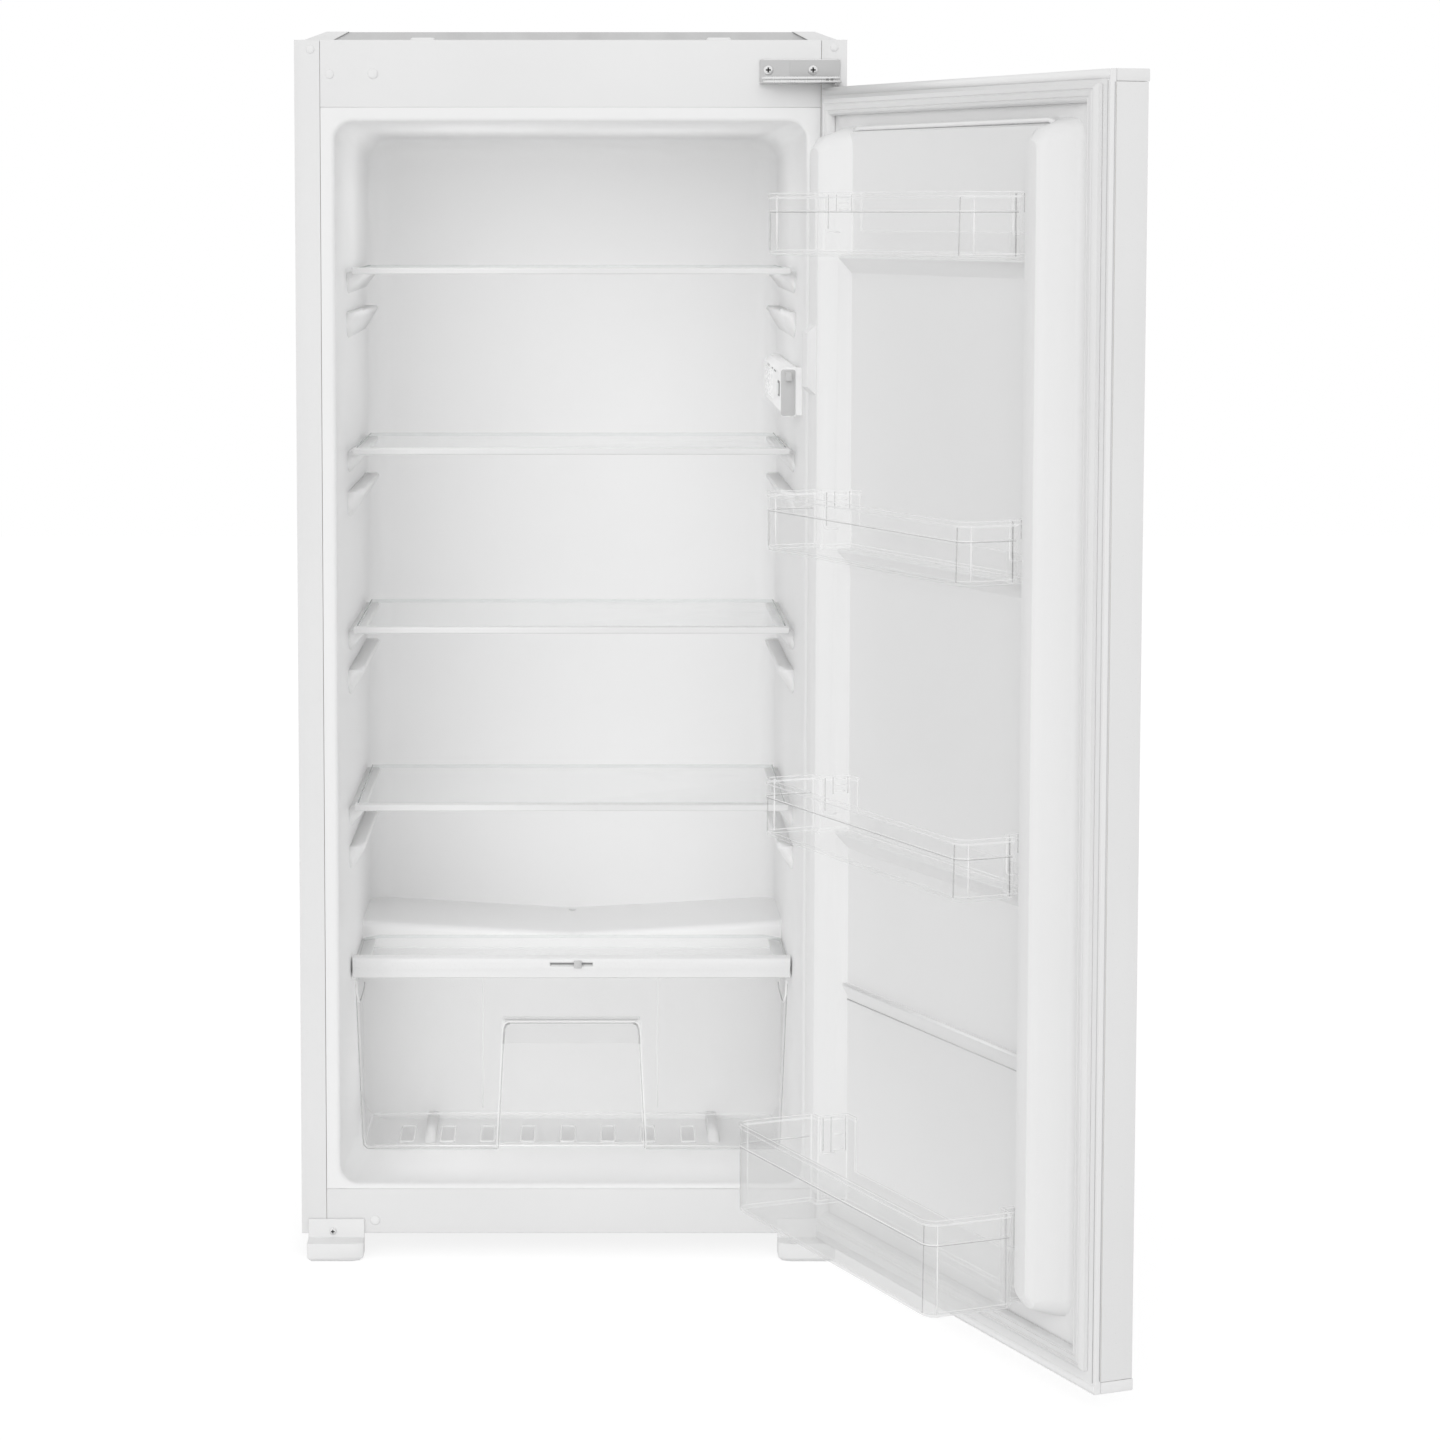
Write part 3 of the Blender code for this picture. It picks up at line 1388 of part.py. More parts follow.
def rack(index, axis):
    """A clear door rack: a tray with a rim, a low rear wall and a hook at each end."""
    bottom = rack_bottom(RACK_PLACE_SHARES[index])
    top = bottom + RACK_HEIGHTS[index]
    reach = RACK_REACHES[index]
    small = RACK_ROUND * RACK_ROUND_SHARE
    rings = [
        rack_ring(RACK_ROUND, reach, bottom),
        rack_ring(small, reach, bottom + small),
        rack_ring(0.0, reach, bottom + RACK_ROUND),
        rack_ring(0.0, reach, top - RACK_RIM_HEIGHT - RACK_RIM),
        rack_ring(-RACK_RIM, reach, top - RACK_RIM_HEIGHT),
        rack_ring(-RACK_RIM, reach, top),
        rack_ring(RACK_WALL, reach, top),
        rack_ring(RACK_WALL, reach, bottom + RACK_ROUND),
        rack_ring(RACK_ROUND, reach, bottom + RACK_FLOOR),
    ]
    bm = bmesh.new()
    loft(bm, rings)
    tray = new_object(f"door_rack_{index + 1}", bm, axis)
    hook = RACK_WING + RACK_HOOK
    rear = PANEL_RISE + RACK_RIM + GAP
    notch = box_object(
        f"guide_rack_notch_{index + 1}",
        (
            across(CABINET_WIDTH - hook),
            out(rear - OVERRUN),
            bottom + (top - bottom) * RACK_REAR_SHARE,
        ),
        (across(hook), out(rear + RACK_WALL + GAP), top + OVERRUN),
        axis,
    )
    cut(tray, notch)
    clear_plastic(tray)


# Hinge brackets and feet


def top_hinge_bracket():
    """The angle bracket on the top rail, with its pin pointing down into the door."""
    outer = HALF_WIDTH - HINGE_INSET + BRACKET_OVERHANG
    inner = outer - TOP_BRACKET_LENGTH
    back = FRONT - GAP
    bottom = TOP_BRACKET_BOTTOM
    bracket = box_object(
        "hinge_bracket_top",
        (inner, back - BRACKET_PLATE, bottom),
        (outer, back, bottom + TOP_BRACKET_HEIGHT),
    )
    reach = FRONT - HINGE_FORWARD - BRACKET_REACH
    outline = [
        (inner, back),
        (inner, back - BRACKET_TOE),
        (outer - BRACKET_SHOULDER, reach),
        (outer, reach),
        (outer, back),
    ]
    flange = prism_object("guide_bracket_flange", outline, "Z", bottom, bottom + BRACKET_PLATE)
    fuse(bracket, flange)
    bm = bmesh.new()
    pin_end = DOOR_TOP - PIN_LENGTH + 2 * GAP
    pin_start = bottom + BRACKET_PLATE / 2
    cylinder(bm, (HINGE_X, HINGE_Y), PIN_RADIUS, "Z", pin_end, pin_start)
    fuse(bracket, new_object("guide_bracket_pin", bm))
    steel(bracket)


def foot_bracket(name, side, with_pin):
    """A foot fixed on the bottom rail, reaching forward under the door."""
    outer = HALF_WIDTH - FOOT_EDGE
    inner = outer - FOOT_WIDTH
    back = FRONT - GAP
    arm_top = DOOR_BOTTOM - FOOT_DOOR_CLEARANCE
    plate = box_object(
        name,
        (min(side * inner, side * outer), back - BRACKET_PLATE, -FOOT_HEIGHT / 2),
        (max(side * inner, side * outer), back, FOOT_PLATE_TOP),
    )
    rings = []
    for inset, height in (
        (FOOT_TAPER, -FOOT_HEIGHT),
        (0.0, FOOT_TAPER - FOOT_HEIGHT),
        (0.0, arm_top),
    ):
        toe = FRONT - FOOT_REACH + inset
        heel = FRONT - GAP - inset
        outline = [
            (inner + inset, heel),
            (inner + inset, toe + FOOT_TAPER),
            (inner + inset + 2 * FOOT_TAPER, toe),
            (outer - inset, toe),
            (outer - inset, heel),
        ]
        rings.append([(side * x, y, height) for x, y in outline])
    bm = bmesh.new()
    loft(bm, rings)
    fuse(plate, new_object("guide_arm_" + name, bm))
    if with_pin:
        bm = bmesh.new()
        pin_top = DOOR_BOTTOM + PIN_LENGTH - 2 * GAP
        cylinder(bm, (HINGE_X, HINGE_Y), PIN_RADIUS, "Z", arm_top - OVERRUN, pin_top)
        fuse(plate, new_object("guide_pin_" + name, bm))
        steel(plate)
    else:
        white_plastic(plate)


def rear_foot(name, side):
    bm = bmesh.new()
    spread = HALF_WIDTH - REAR_FOOT_INSET
    centre = (side * spread, deep(CABINET_DEPTH - REAR_FOOT_INSET))
    cylinder(bm, centre, REAR_FOOT_RADIUS, "Z", -FOOT_HEIGHT, -GAP, ROUND_STEPS)
    finish_material(smooth(new_object(name, bm)), (0.20, 0.20, 0.21), 0.6)


# Machine compartment


def compressor_tray():
    front = deep(COMPARTMENT_FRONT + SHEET + GAP)
    back = deep(CABINET_DEPTH - SHEET - GAP)
    outline = [
        (front, 0.0),
        (back, 0.0),
        (back, TRAY_LIP),
        (back - SHEET, TRAY_LIP),
        (back - SHEET, BASE_THICKNESS),
        (front, BASE_THICKNESS),
    ]
    steel(prism_object("compressor_tray", outline, "X", -INSIDE_HALF_WIDTH, INSIDE_HALF_WIDTH))


def compressor():
    """The hermetic compressor on its foot bar, four rubber mounts and its relay box."""
    centre = (COMPRESSOR_X, deep(COMPRESSOR_DEPTH))
    rings = []
    for height_share, radius_share in zip(COMPRESSOR_HEIGHT_SHARES, COMPRESSOR_RADIUS_SHARES):
        height = COMPRESSOR_BOTTOM - FOOT_BAR_THICKNESS / 2 + COMPRESSOR_HEIGHT * height_share
        ring = []
        for cosine, sine in circle((0.0, 0.0), 1.0, ROUND_STEPS):
            x = centre[0] + COMPRESSOR_HALF_LENGTH * radius_share * cosine
            y = centre[1] + COMPRESSOR_HALF_WIDTH * radius_share * sine
            ring.append((x, y, height))
        rings.append(ring)
    bm = bmesh.new()
    loft(bm, rings)
    body = new_object("compressor", bm)
    mounts_top = BASE_THICKNESS + GAP + MOUNT_HEIGHT
    reach_x = MOUNT_SPREAD_X + FOOT_BAR_MARGIN
    reach_y = MOUNT_SPREAD_Y + FOOT_BAR_MARGIN
    bar = box_object(
        "guide_foot_bar",
        (centre[0] - reach_x, centre[1] - reach_y, mounts_top + GAP),
        (centre[0] + reach_x, centre[1] + reach_y, mounts_top + GAP + FOOT_BAR_THICKNESS),
    )
    fuse(body, bar)
    black_paint(smooth(body))
    corners = ((-1, -1), (1, -1), (1, 1), (-1, 1))
    for index, (right, back) in enumerate(corners):
        bm = bmesh.new()
        place = (centre[0] + right * MOUNT_SPREAD_X, centre[1] + back * MOUNT_SPREAD_Y)
        cylinder(bm, place, MOUNT_RADIUS, "Z", BASE_THICKNESS + GAP, mounts_top)
        grommet = smooth(new_object(f"compressor_mount_{index + 1}", bm))
        finish_material(grommet, (0.06, 0.06, 0.06), 0.8)
    relay_start = centre[0] + COMPRESSOR_HALF_LENGTH + GAP
    relay = box_object(
        "start_relay",
        (relay_start, centre[1] - RELAY_WIDTH / 2, RELAY_BOTTOM),
        (relay_start + RELAY_LENGTH, centre[1] + RELAY_WIDTH / 2, RELAY_BOTTOM + RELAY_HEIGHT),
    )
    black_paint(relay)


def drain_pan():
    """The evaporation pan on top of the compressor, under the drain tube."""
    low_x = PAN_OFFSET
    low_y = deep(COMPRESSOR_DEPTH) - PAN_WIDTH / 2
    bottom = COMPRESSOR_TOP + GAP

    def ring(inset, height):
        outline = rounded(
            low_x + inset,
            low_x + PAN_LENGTH - inset,
            low_y + inset,
            low_y + PAN_WIDTH - inset,
            PAN_RADIUS - inset,
        )
        return [(x, y, height) for x, y in outline]

    bm = bmesh.new()
    rings = [
        ring(PAN_DRAFT, bottom),
        ring(0.0, bottom + PAN_HEIGHT),
        ring(PAN_WALL, bottom + PAN_HEIGHT),
        ring(PAN_DRAFT + PAN_WALL, bottom + PAN_WALL),
    ]
    loft(bm, rings)
    black_paint(new_object("drain_pan", bm))


def condenser_path():
    """The serpentine: straight runs joined by half-round bends, then down to the drier."""
    radius = CONDENSER_PITCH / 2
    points = [(RISER_X, CONDENSER_TOP - radius)]
    points += arc((RISER_X - radius, CONDENSER_TOP - radius), radius, 0.0, math.pi / 2, BEND_STEPS)[1:]
    for run in range(CONDENSER_RUNS):
        height = CONDENSER_TOP - run * CONDENSER_PITCH
        end = CONDENSER_HALF_RUN if run % 2 else -CONDENSER_HALF_RUN
        if run < CONDENSER_RUNS - 1:
            turn = -math.pi if run % 2 else math.pi
            points += arc((end, height - radius), radius, math.pi / 2, turn, BEND_STEPS)
        else:
            points += arc((end, height - radius), radius, math.pi / 2, math.pi / 2, BEND_STEPS)
    points.append((DRIER_X, DRIER_TOP + GAP))
    return [(x, deep(TUBE_PLACE), z) for x, z in points]


def wire_grid():
    """The condenser's wires: one flat lattice of uprights and cross wires."""
    half_wire = WIRE_THICKNESS / 2
    low_z = CONDENSER_TOP - (CONDENSER_RUNS - 1) * CONDENSER_PITCH - WIRE_TOP_MARGIN
    high_z = CONDENSER_TOP + WIRE_TOP_MARGIN

    def edges(low, high, count):
        places = []
        for index in range(count):
            middle = low + (high - low) * index / (count - 1)
            places += [middle - half_wire, middle + half_wire]
        return places

    columns = edges(-WIRE_HALF_SPAN, WIRE_HALF_SPAN, WIRE_COUNT)
    rows = edges(low_z, high_z, CROSS_WIRES)
    front, back = deep(WIRE_PLACE), deep(WIRE_PLACE + WIRE_THICKNESS)
    bm = bmesh.new()
    corners = {}
    for i, x in enumerate(columns):
        for j, z in enumerate(rows):
            corners[i, j] = (bm.verts.new((x, front, z)), bm.verts.new((x, back, z)))
    cells = {
        (i, j)
        for i in range(len(columns) - 1)
        for j in range(len(rows) - 1)
        if i % 2 == 0 or j % 2 == 0
    }
    for i, j in cells:
        around = ((i, j), (i + 1, j), (i + 1, j + 1), (i, j + 1))
        bm.faces.new([corners[place][0] for place in around])
        bm.faces.new([corners[place][1] for place in reversed(around)])
        beside = ((i, j - 1), (i + 1, j), (i, j + 1), (i - 1, j))
        for index, neighbour in enumerate(beside):
            if neighbour not in cells:
                start, end = around[index], around[(index + 1) % len(around)]
                bm.faces.new(
                    (corners[start][1], corners[end][1], corners[end][0], corners[start][0])
                )
    black_paint(new_object("condenser_wires", bm))


def condenser():
    """The tube, the wires and the two brackets on the cabinet's back."""
    black_paint(tube_object("condenser_tube", condenser_path(), TUBE_RADIUS))
    wire_grid()
    near = deep(BACK_PANEL_DEPTH + SHEET + GAP)
    bottom = CONDENSER_TOP - (CONDENSER_RUNS - 1) * CONDENSER_PITCH
    for name, side in (("condenser_bracket_left", -1), ("condenser_bracket_right", 1)):
        x = side * (WIRE_HALF_SPAN - BRACKET_INSET)
        bracket = box_object(
            name,
            (x - BRACKET_WIDTH / 2, near, bottom),
            (x + BRACKET_WIDTH / 2, near + BRACKET_THICKNESS, CONDENSER_TOP),
        )
        white_plastic(bracket)


def filter_drier():
    """The copper drier under the end of the condenser tube."""
    centre = (DRIER_X, deep(TUBE_PLACE))
    bottom = DRIER_TOP - DRIER_LENGTH
    stations = (
        (DRIER_NECK_RADIUS, bottom),
        (DRIER_RADIUS, bottom + DRIER_NECK),
        (DRIER_RADIUS, DRIER_TOP - DRIER_NECK),
        (DRIER_NECK_RADIUS, DRIER_TOP),
    )
    rings = [
        [(x, y, height) for x, y in circle(centre, radius, SMALL_ROUND_STEPS)]
        for radius, height in stations
    ]
    bm = bmesh.new()
    loft(bm, rings)
    copper(smooth(new_object("filter_drier", bm)))


def pipes():
    """The discharge, suction and capillary pipes of the machine compartment."""
    widest = COMPRESSOR_RADIUS_SHARES[5]
    rear = COMPRESSOR_DEPTH + COMPRESSOR_HALF_WIDTH * widest + TUBE_RADIUS / 4
    back = TUBE_PLACE
    top = CONDENSER_TOP - CONDENSER_PITCH / 2 - GAP
    middle = COMPRESSOR_X + COMPRESSOR_HALF_LENGTH
    discharge = [
        (COMPRESSOR_X, deep(rear), PIPE_HEIGHT),
        (COMPRESSOR_X + 2 * SUCTION_RADIUS, deep(back), PIPE_HEIGHT + 2 * SUCTION_RADIUS),
        (middle, deep(back), PIPE_HEIGHT + MOUNT_SPREAD_Y),
        (RISER_X, deep(back), COMPARTMENT_HEIGHT),
        (RISER_X, deep(back), (COMPARTMENT_HEIGHT + top) / 2),
        (RISER_X, deep(back), top),
    ]
    copper(tube_object("discharge_pipe", smooth_path(discharge), TUBE_RADIUS))
    left = COMPRESSOR_X - COMPRESSOR_HALF_LENGTH
    turn = left - PAN_WIDTH / 2
    ceiling = COMPARTMENT_HEIGHT - SHEET - GAP
    suction = [
        (left, deep(COMPRESSOR_DEPTH), PIPE_HEIGHT),
        (left - PAN_WIDTH / 3, deep(COMPRESSOR_DEPTH), PIPE_HEIGHT),
        (turn, deep(COMPRESSOR_DEPTH + TRAY_LIP), (PIPE_HEIGHT + ceiling) / 2),
        (turn, deep(COMPRESSOR_DEPTH + TRAY_LIP), ceiling),
    ]
    copper(tube_object("suction_pipe", smooth_path(suction), SUCTION_RADIUS))
    start = DRIER_TOP - DRIER_LENGTH - GAP
    inboard = DRIER_X + PAN_WIDTH / 2
    capillary = [
        (DRIER_X, deep(back), start),
        (DRIER_X, deep(back), start - TRAY_LIP),
        (DRIER_X + PAN_WIDTH / 4, deep(back - TRAY_LIP), start - 2 * TRAY_LIP),
        (inboard, deep(back - 2 * TRAY_LIP), start),
        (inboard, deep(back - 2 * TRAY_LIP), ceiling),
    ]
    copper(tube_object("capillary_tube", smooth_path(capillary), CAPILLARY_RADIUS))


def build_cabinet():
    side_panel("side_panel_left", -1)
    side_panel("side_panel_right", 1)
    front_rail("top_rail", RAIL_SEAM_TOP, CABINET_HEIGHT)
    front_rail("bottom_rail", 0.0, BOTTOM_RAIL_HEIGHT)
    top_panel()
    panels()
    inner_liner()
    cabinet_foam()
    evaporator_and_drain()
    top_hinge_bracket()
    foot_bracket("hinge_bracket_bottom", 1, True)
    foot_bracket("foot_bracket_left", -1, False)
    rear_foot("rear_foot_left", -1)
    rear_foot("rear_foot_right", 1)


def build_machine_compartment():
    compressor_tray()
    compressor()
    drain_pan()
    condenser()
    filter_drier()
    pipes()


def build_inside():
    for index in range(SHELF_COUNT):
        shelf(index)
    crisper_cover()
    crisper_drawer()
    housing()
    thermostat_dial()
    switch_plunger()


def build_door():
    axis = hinge_axis()
    door_shell(axis)
    door_liner(axis)
    gasket(axis)
    for index in range(len(RACK_PLACE_SHARES)):
        rack(index, axis)


def main():
    for old in list(bpy.data.objects):
        bpy.data.objects.remove(old, do_unlink=True)
    build_cabinet()
    build_machine_compartment()
    build_inside()
    build_door()


main()
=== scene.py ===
"""The look of a built-in refrigerator with its door open.

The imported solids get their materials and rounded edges. Finer pieces are fitted on them, and
the camera, the light and the floor are set up for the photograph's view.
"""

import json
import math

import bmesh
import bpy
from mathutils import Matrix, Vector

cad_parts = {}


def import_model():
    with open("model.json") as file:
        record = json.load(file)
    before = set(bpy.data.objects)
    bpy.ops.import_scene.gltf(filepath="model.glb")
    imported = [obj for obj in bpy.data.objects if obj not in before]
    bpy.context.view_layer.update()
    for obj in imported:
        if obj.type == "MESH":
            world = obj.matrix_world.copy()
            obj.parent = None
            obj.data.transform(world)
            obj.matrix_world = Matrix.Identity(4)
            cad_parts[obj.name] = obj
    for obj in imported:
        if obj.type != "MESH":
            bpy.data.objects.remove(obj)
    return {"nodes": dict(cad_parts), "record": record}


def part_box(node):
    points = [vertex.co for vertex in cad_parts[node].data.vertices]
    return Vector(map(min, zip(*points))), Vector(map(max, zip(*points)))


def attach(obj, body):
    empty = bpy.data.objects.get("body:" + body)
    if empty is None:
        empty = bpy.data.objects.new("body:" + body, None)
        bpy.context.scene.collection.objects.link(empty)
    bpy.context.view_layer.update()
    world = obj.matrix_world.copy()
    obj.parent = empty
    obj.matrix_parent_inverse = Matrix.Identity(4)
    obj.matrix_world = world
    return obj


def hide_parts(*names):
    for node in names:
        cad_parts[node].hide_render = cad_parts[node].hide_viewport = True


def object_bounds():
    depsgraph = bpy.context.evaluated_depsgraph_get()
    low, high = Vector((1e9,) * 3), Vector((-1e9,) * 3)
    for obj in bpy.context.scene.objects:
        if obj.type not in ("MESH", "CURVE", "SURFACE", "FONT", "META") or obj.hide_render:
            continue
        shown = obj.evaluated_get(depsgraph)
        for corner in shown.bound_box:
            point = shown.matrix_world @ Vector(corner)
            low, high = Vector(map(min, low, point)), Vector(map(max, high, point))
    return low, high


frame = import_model()
CAD_LOW, CAD_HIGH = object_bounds()
NODES = frame["nodes"]
BODIES = frame["record"]["behaviour"]["bodies"]
BODY_OF = {node: body for body, members in BODIES.items() for node in members}
FLOOR = CAD_LOW.z
MM = 0.001
QUARTER = math.pi / 2
WHITE = (1.0, 1.0, 1.0, 1.0)

# Camera: far back, nearly in line with the cabinet's middle, a little higher than its top shelf
CAMERA_PLACE = (0.01587, -3.9373, 1.0222)
CAMERA_LENS = 93.229
CAMERA_SENSOR = 36.0
CAMERA_TILT = math.radians(90 - 5.0)
CAMERA_SHIFT = (0.0925, -0.1270)
CAMERA_CLIP = (0.1, 60.0)


def camera():
    """The photograph's camera, solved on the cabinet's front and inside."""
    data = bpy.data.cameras.new("camera")
    data.lens = CAMERA_LENS
    data.sensor_width = CAMERA_SENSOR
    data.shift_x, data.shift_y = CAMERA_SHIFT
    data.clip_start, data.clip_end = CAMERA_CLIP
    obj = bpy.data.objects.new("camera", data)
    obj.location = CAMERA_PLACE
    obj.rotation_euler = (CAMERA_TILT, 0.0, 0.0)
    bpy.context.scene.collection.objects.link(obj)
    bpy.context.scene.camera = obj


camera()


# Materials

BROAD_DETAIL = 2.0
FINE_DETAIL = 3.0
RAMP_START = 0.3
RAMP_END = 0.7
ROUGHNESS_SPREAD = 0.05
COAT_ROUGHNESS = 0.12
RELIEF_STRENGTH = 0.5
FACING_BLEND = 0.5


def tree_of(name):
    """A new material with an empty node tree and its output."""
    mat = bpy.data.materials.new(name)
    mat.use_nodes = True
    nodes, links = mat.node_tree.nodes, mat.node_tree.links
    nodes.clear()
    out = nodes.new("ShaderNodeOutputMaterial")
    return mat, nodes, links, out


def noise(nodes, links, coords, scale, detail, stretch=None):
    """A noise texture in object space, which may be stretched."""
    tex = nodes.new("ShaderNodeTexNoise")
    tex.inputs["Scale"].default_value = scale
    tex.inputs["Detail"].default_value = detail
    source = coords.outputs["Object"]
    if stretch:
        mapping = nodes.new("ShaderNodeMapping")
        mapping.inputs["Scale"].default_value = stretch
        links.new(source, mapping.inputs["Vector"])
        source = mapping.outputs["Vector"]
    links.new(source, tex.inputs["Vector"])
    return tex.outputs["Fac"]


def ramp(nodes, links, fac, low, high):
    """Maps a texture onto a colour or a grey value between low and high."""
    node = nodes.new("ShaderNodeValToRGB")
    node.color_ramp.elements[0].position = RAMP_START
    node.color_ramp.elements[1].position = RAMP_END
    for element, value in zip(node.color_ramp.elements, (low, high)):
        rgb = value if isinstance(value, tuple) else (value,) * 3
        element.color = (*rgb, 1.0)
    links.new(fac, node.inputs["Fac"])
    return node.outputs["Color"]


def edge_fade(nodes, links, alpha, edge_alpha, edge_power):
    """How solid a clear surface is: alpha seen straight on, edge_alpha seen from the side."""
    facing = nodes.new("ShaderNodeLayerWeight")
    facing.inputs["Blend"].default_value = FACING_BLEND
    power = nodes.new("ShaderNodeMath")
    power.operation = "POWER"
    power.inputs[1].default_value = edge_power
    links.new(facing.outputs["Facing"], power.inputs[0])
    span = nodes.new("ShaderNodeMapRange")
    span.inputs["To Min"].default_value = alpha
    span.inputs["To Max"].default_value = edge_alpha
    links.new(power.outputs[0], span.inputs["Value"])
    return span.outputs["Result"]


def surface(name, low, high, rough, grain, bump, blotch=6.0, metal=0.0,
            coat=0.0, alpha=None, edge_alpha=None, edge_power=4.0, stretch=None,
            specular=0.5, glow=0.0):
    """A surface with a slightly uneven colour, uneven roughness and fine relief."""
    mat, nodes, links, out = tree_of(name)
    coords = nodes.new("ShaderNodeTexCoord")
    shader = nodes.new("ShaderNodeBsdfPrincipled")
    shader.inputs["Metallic"].default_value = metal
    shader.inputs["Coat Weight"].default_value = coat
    shader.inputs["Coat Roughness"].default_value = COAT_ROUGHNESS
    shader.inputs["Specular IOR Level"].default_value = specular
    shader.inputs["Emission Color"].default_value = WHITE
    shader.inputs["Emission Strength"].default_value = glow
    broad = noise(nodes, links, coords, blotch, BROAD_DETAIL)
    fine = noise(nodes, links, coords, grain, FINE_DETAIL, stretch)
    links.new(ramp(nodes, links, broad, low, high), shader.inputs["Base Color"])
    links.new(ramp(nodes, links, fine, rough - ROUGHNESS_SPREAD, rough + ROUGHNESS_SPREAD),
              shader.inputs["Roughness"])
    relief = nodes.new("ShaderNodeBump")
    relief.inputs["Strength"].default_value = RELIEF_STRENGTH
    relief.inputs["Distance"].default_value = bump
    links.new(fine, relief.inputs["Height"])
    links.new(relief.outputs["Normal"], shader.inputs["Normal"])
    if edge_alpha is not None:
        links.new(edge_fade(nodes, links, alpha, edge_alpha, edge_power), shader.inputs["Alpha"])
    elif alpha is not None:
        shader.inputs["Alpha"].default_value = alpha
    links.new(shader.outputs["BSDF"], out.inputs["Surface"])
    return mat


ENAMEL = surface("enamel", 0.790, 0.810, 0.32, 700.0, 0.00003, coat=0.2)
RAIL = surface("rail_plastic", 0.820, 0.840, 0.42, 2200.0, 0.00003)
LINER = surface("liner_plastic", 0.870, 0.890, 0.36, 450.0, 0.00004, blotch=3.0)
DOOR_LINER = surface("door_liner_plastic", 0.830, 0.850, 0.34, 450.0, 0.00004, blotch=3.0)
PANEL_BACK = surface("back_board", 0.74, 0.79, 0.55, 1500.0, 0.00005)
STEEL = surface("zinc_steel", 0.52, 0.62, 0.38, 60.0, 0.00003, metal=1.0, stretch=(1, 1, 18))
DARK_STEEL = surface("black_steel", 0.018, 0.028, 0.42, 500.0, 0.00006)
# Bright zinc of the screw heads. On the bracket's rolled edges the same bright finish is a
# painted highlight of their light band.
BRIGHT_ZINC_AND_HIGHLIGHT = surface("bright_zinc_and_painted_highlight", 0.76, 0.84, 0.30, 60.0, 0.00003, metal=0.8,
                       stretch=(18, 1, 1))
CLEAR = surface("clear_plastic", 0.93, 0.96, 0.09, 90.0, 0.00002, alpha=0.06, edge_alpha=0.20)
# The drawer's clear plastic is tinted grey as painted shade, which darkens the drawer's zone.
CLEAR_DRAWER_PAINTED_SHADE = surface("clear_drawer_plastic_painted_shade", 0.58, 0.64, 0.09, 90.0, 0.00002, alpha=0.07,
                       edge_alpha=0.18)
CLEAR_DEEP = surface("clear_deep_rack_plastic", 0.74, 0.79, 0.09, 90.0, 0.00002, alpha=0.24,
                     edge_alpha=0.38)
# Painted highlight and painted shade: the white rim and the dark line that clear plastic shows
# along its edges.
CLEAR_PAINTED_HIGHLIGHT = surface("clear_plastic_painted_highlight", 0.94, 0.97, 0.14, 90.0, 0.00002, alpha=0.70)
CLEAR_PAINTED_SHADE = surface("clear_plastic_painted_shade", 0.42, 0.48, 0.16, 90.0, 0.00002, alpha=0.31)
GLASS = surface("shelf_glass", (0.88, 0.91, 0.90), (0.90, 0.93, 0.92), 0.06, 30.0, 0.000004,
                alpha=0.04, edge_alpha=0.20, edge_power=6.0)
GLASS_EDGE = surface("glass_edge", (0.60, 0.64, 0.63), (0.66, 0.70, 0.69), 0.10, 300.0, 0.00001,
                     alpha=0.34)
GLASS_LINE = surface("glass_side_line", (0.30, 0.34, 0.33), (0.36, 0.40, 0.39), 0.20, 300.0,
                     0.00001, alpha=0.62)
TRIM = surface("cover_trim", 0.84, 0.87, 0.30, 1200.0, 0.00002)
SHELF_TRIM = surface("shelf_trim", 0.79, 0.82, 0.30, 1200.0, 0.00002)
GASKET = surface("gasket_rubber", 0.77, 0.80, 0.50, 1600.0, 0.00004)
FOAM = surface("foam", (0.78, 0.70, 0.48), (0.84, 0.77, 0.56), 0.85, 260.0, 0.0008, blotch=40)
# The housing plastic has a faint glow: painted light that brightens the thermostat housing and
# the plate behind it.
HOUSING_PAINTED_GLOW = surface("housing_plastic_painted_glow", 0.88, 0.90, 0.38, 1800.0, 0.00003, glow=0.07)
CAP_WHITE = surface("cap_plastic", 0.88, 0.90, 0.38, 1800.0, 0.00003)
LAMP_COVER = surface("lamp_cover", 0.80, 0.84, 0.28, 300.0, 0.00005, glow=0.10)
LAMP = surface("lamp_diode_board", 0.80, 0.88, 0.30, 900.0, 0.00005)
COPPER = surface("copper", (0.72, 0.36, 0.24), (0.80, 0.44, 0.30), 0.30, 60.0, 0.00003, metal=1.0)
RUBBER = surface("rubber", 0.025, 0.040, 0.70, 900.0, 0.00008)
WIRE = surface("black_wire_paint", 0.020, 0.032, 0.38, 500.0, 0.00003)
PAN = surface("pan_plastic", 0.05, 0.07, 0.45, 1500.0, 0.00004)
RELAY = surface("relay_plastic", 0.07, 0.10, 0.50, 1500.0, 0.00004)
ALUMINIUM = surface("aluminium", 0.72, 0.80, 0.40, 60.0, 0.00003, metal=1.0)
GALVANISED = surface("galvanised_steel", 0.34, 0.38, 0.50, 120.0, 0.00001, metal=1.0, blotch=30)
DRAIN = surface("drain_plastic", 0.70, 0.75, 0.40, 900.0, 0.00003)
MARK = surface("grey_mark", 0.36, 0.42, 0.50, 900.0, 0.00001)
# Painted shadow: dark blocks put in the slider's slot, the slit over the dial and the hinge's
# notches, where there is only shade.
SHADOW_GAP = surface("painted_shadow_gap", 0.20, 0.26, 0.60, 900.0, 0.00001)
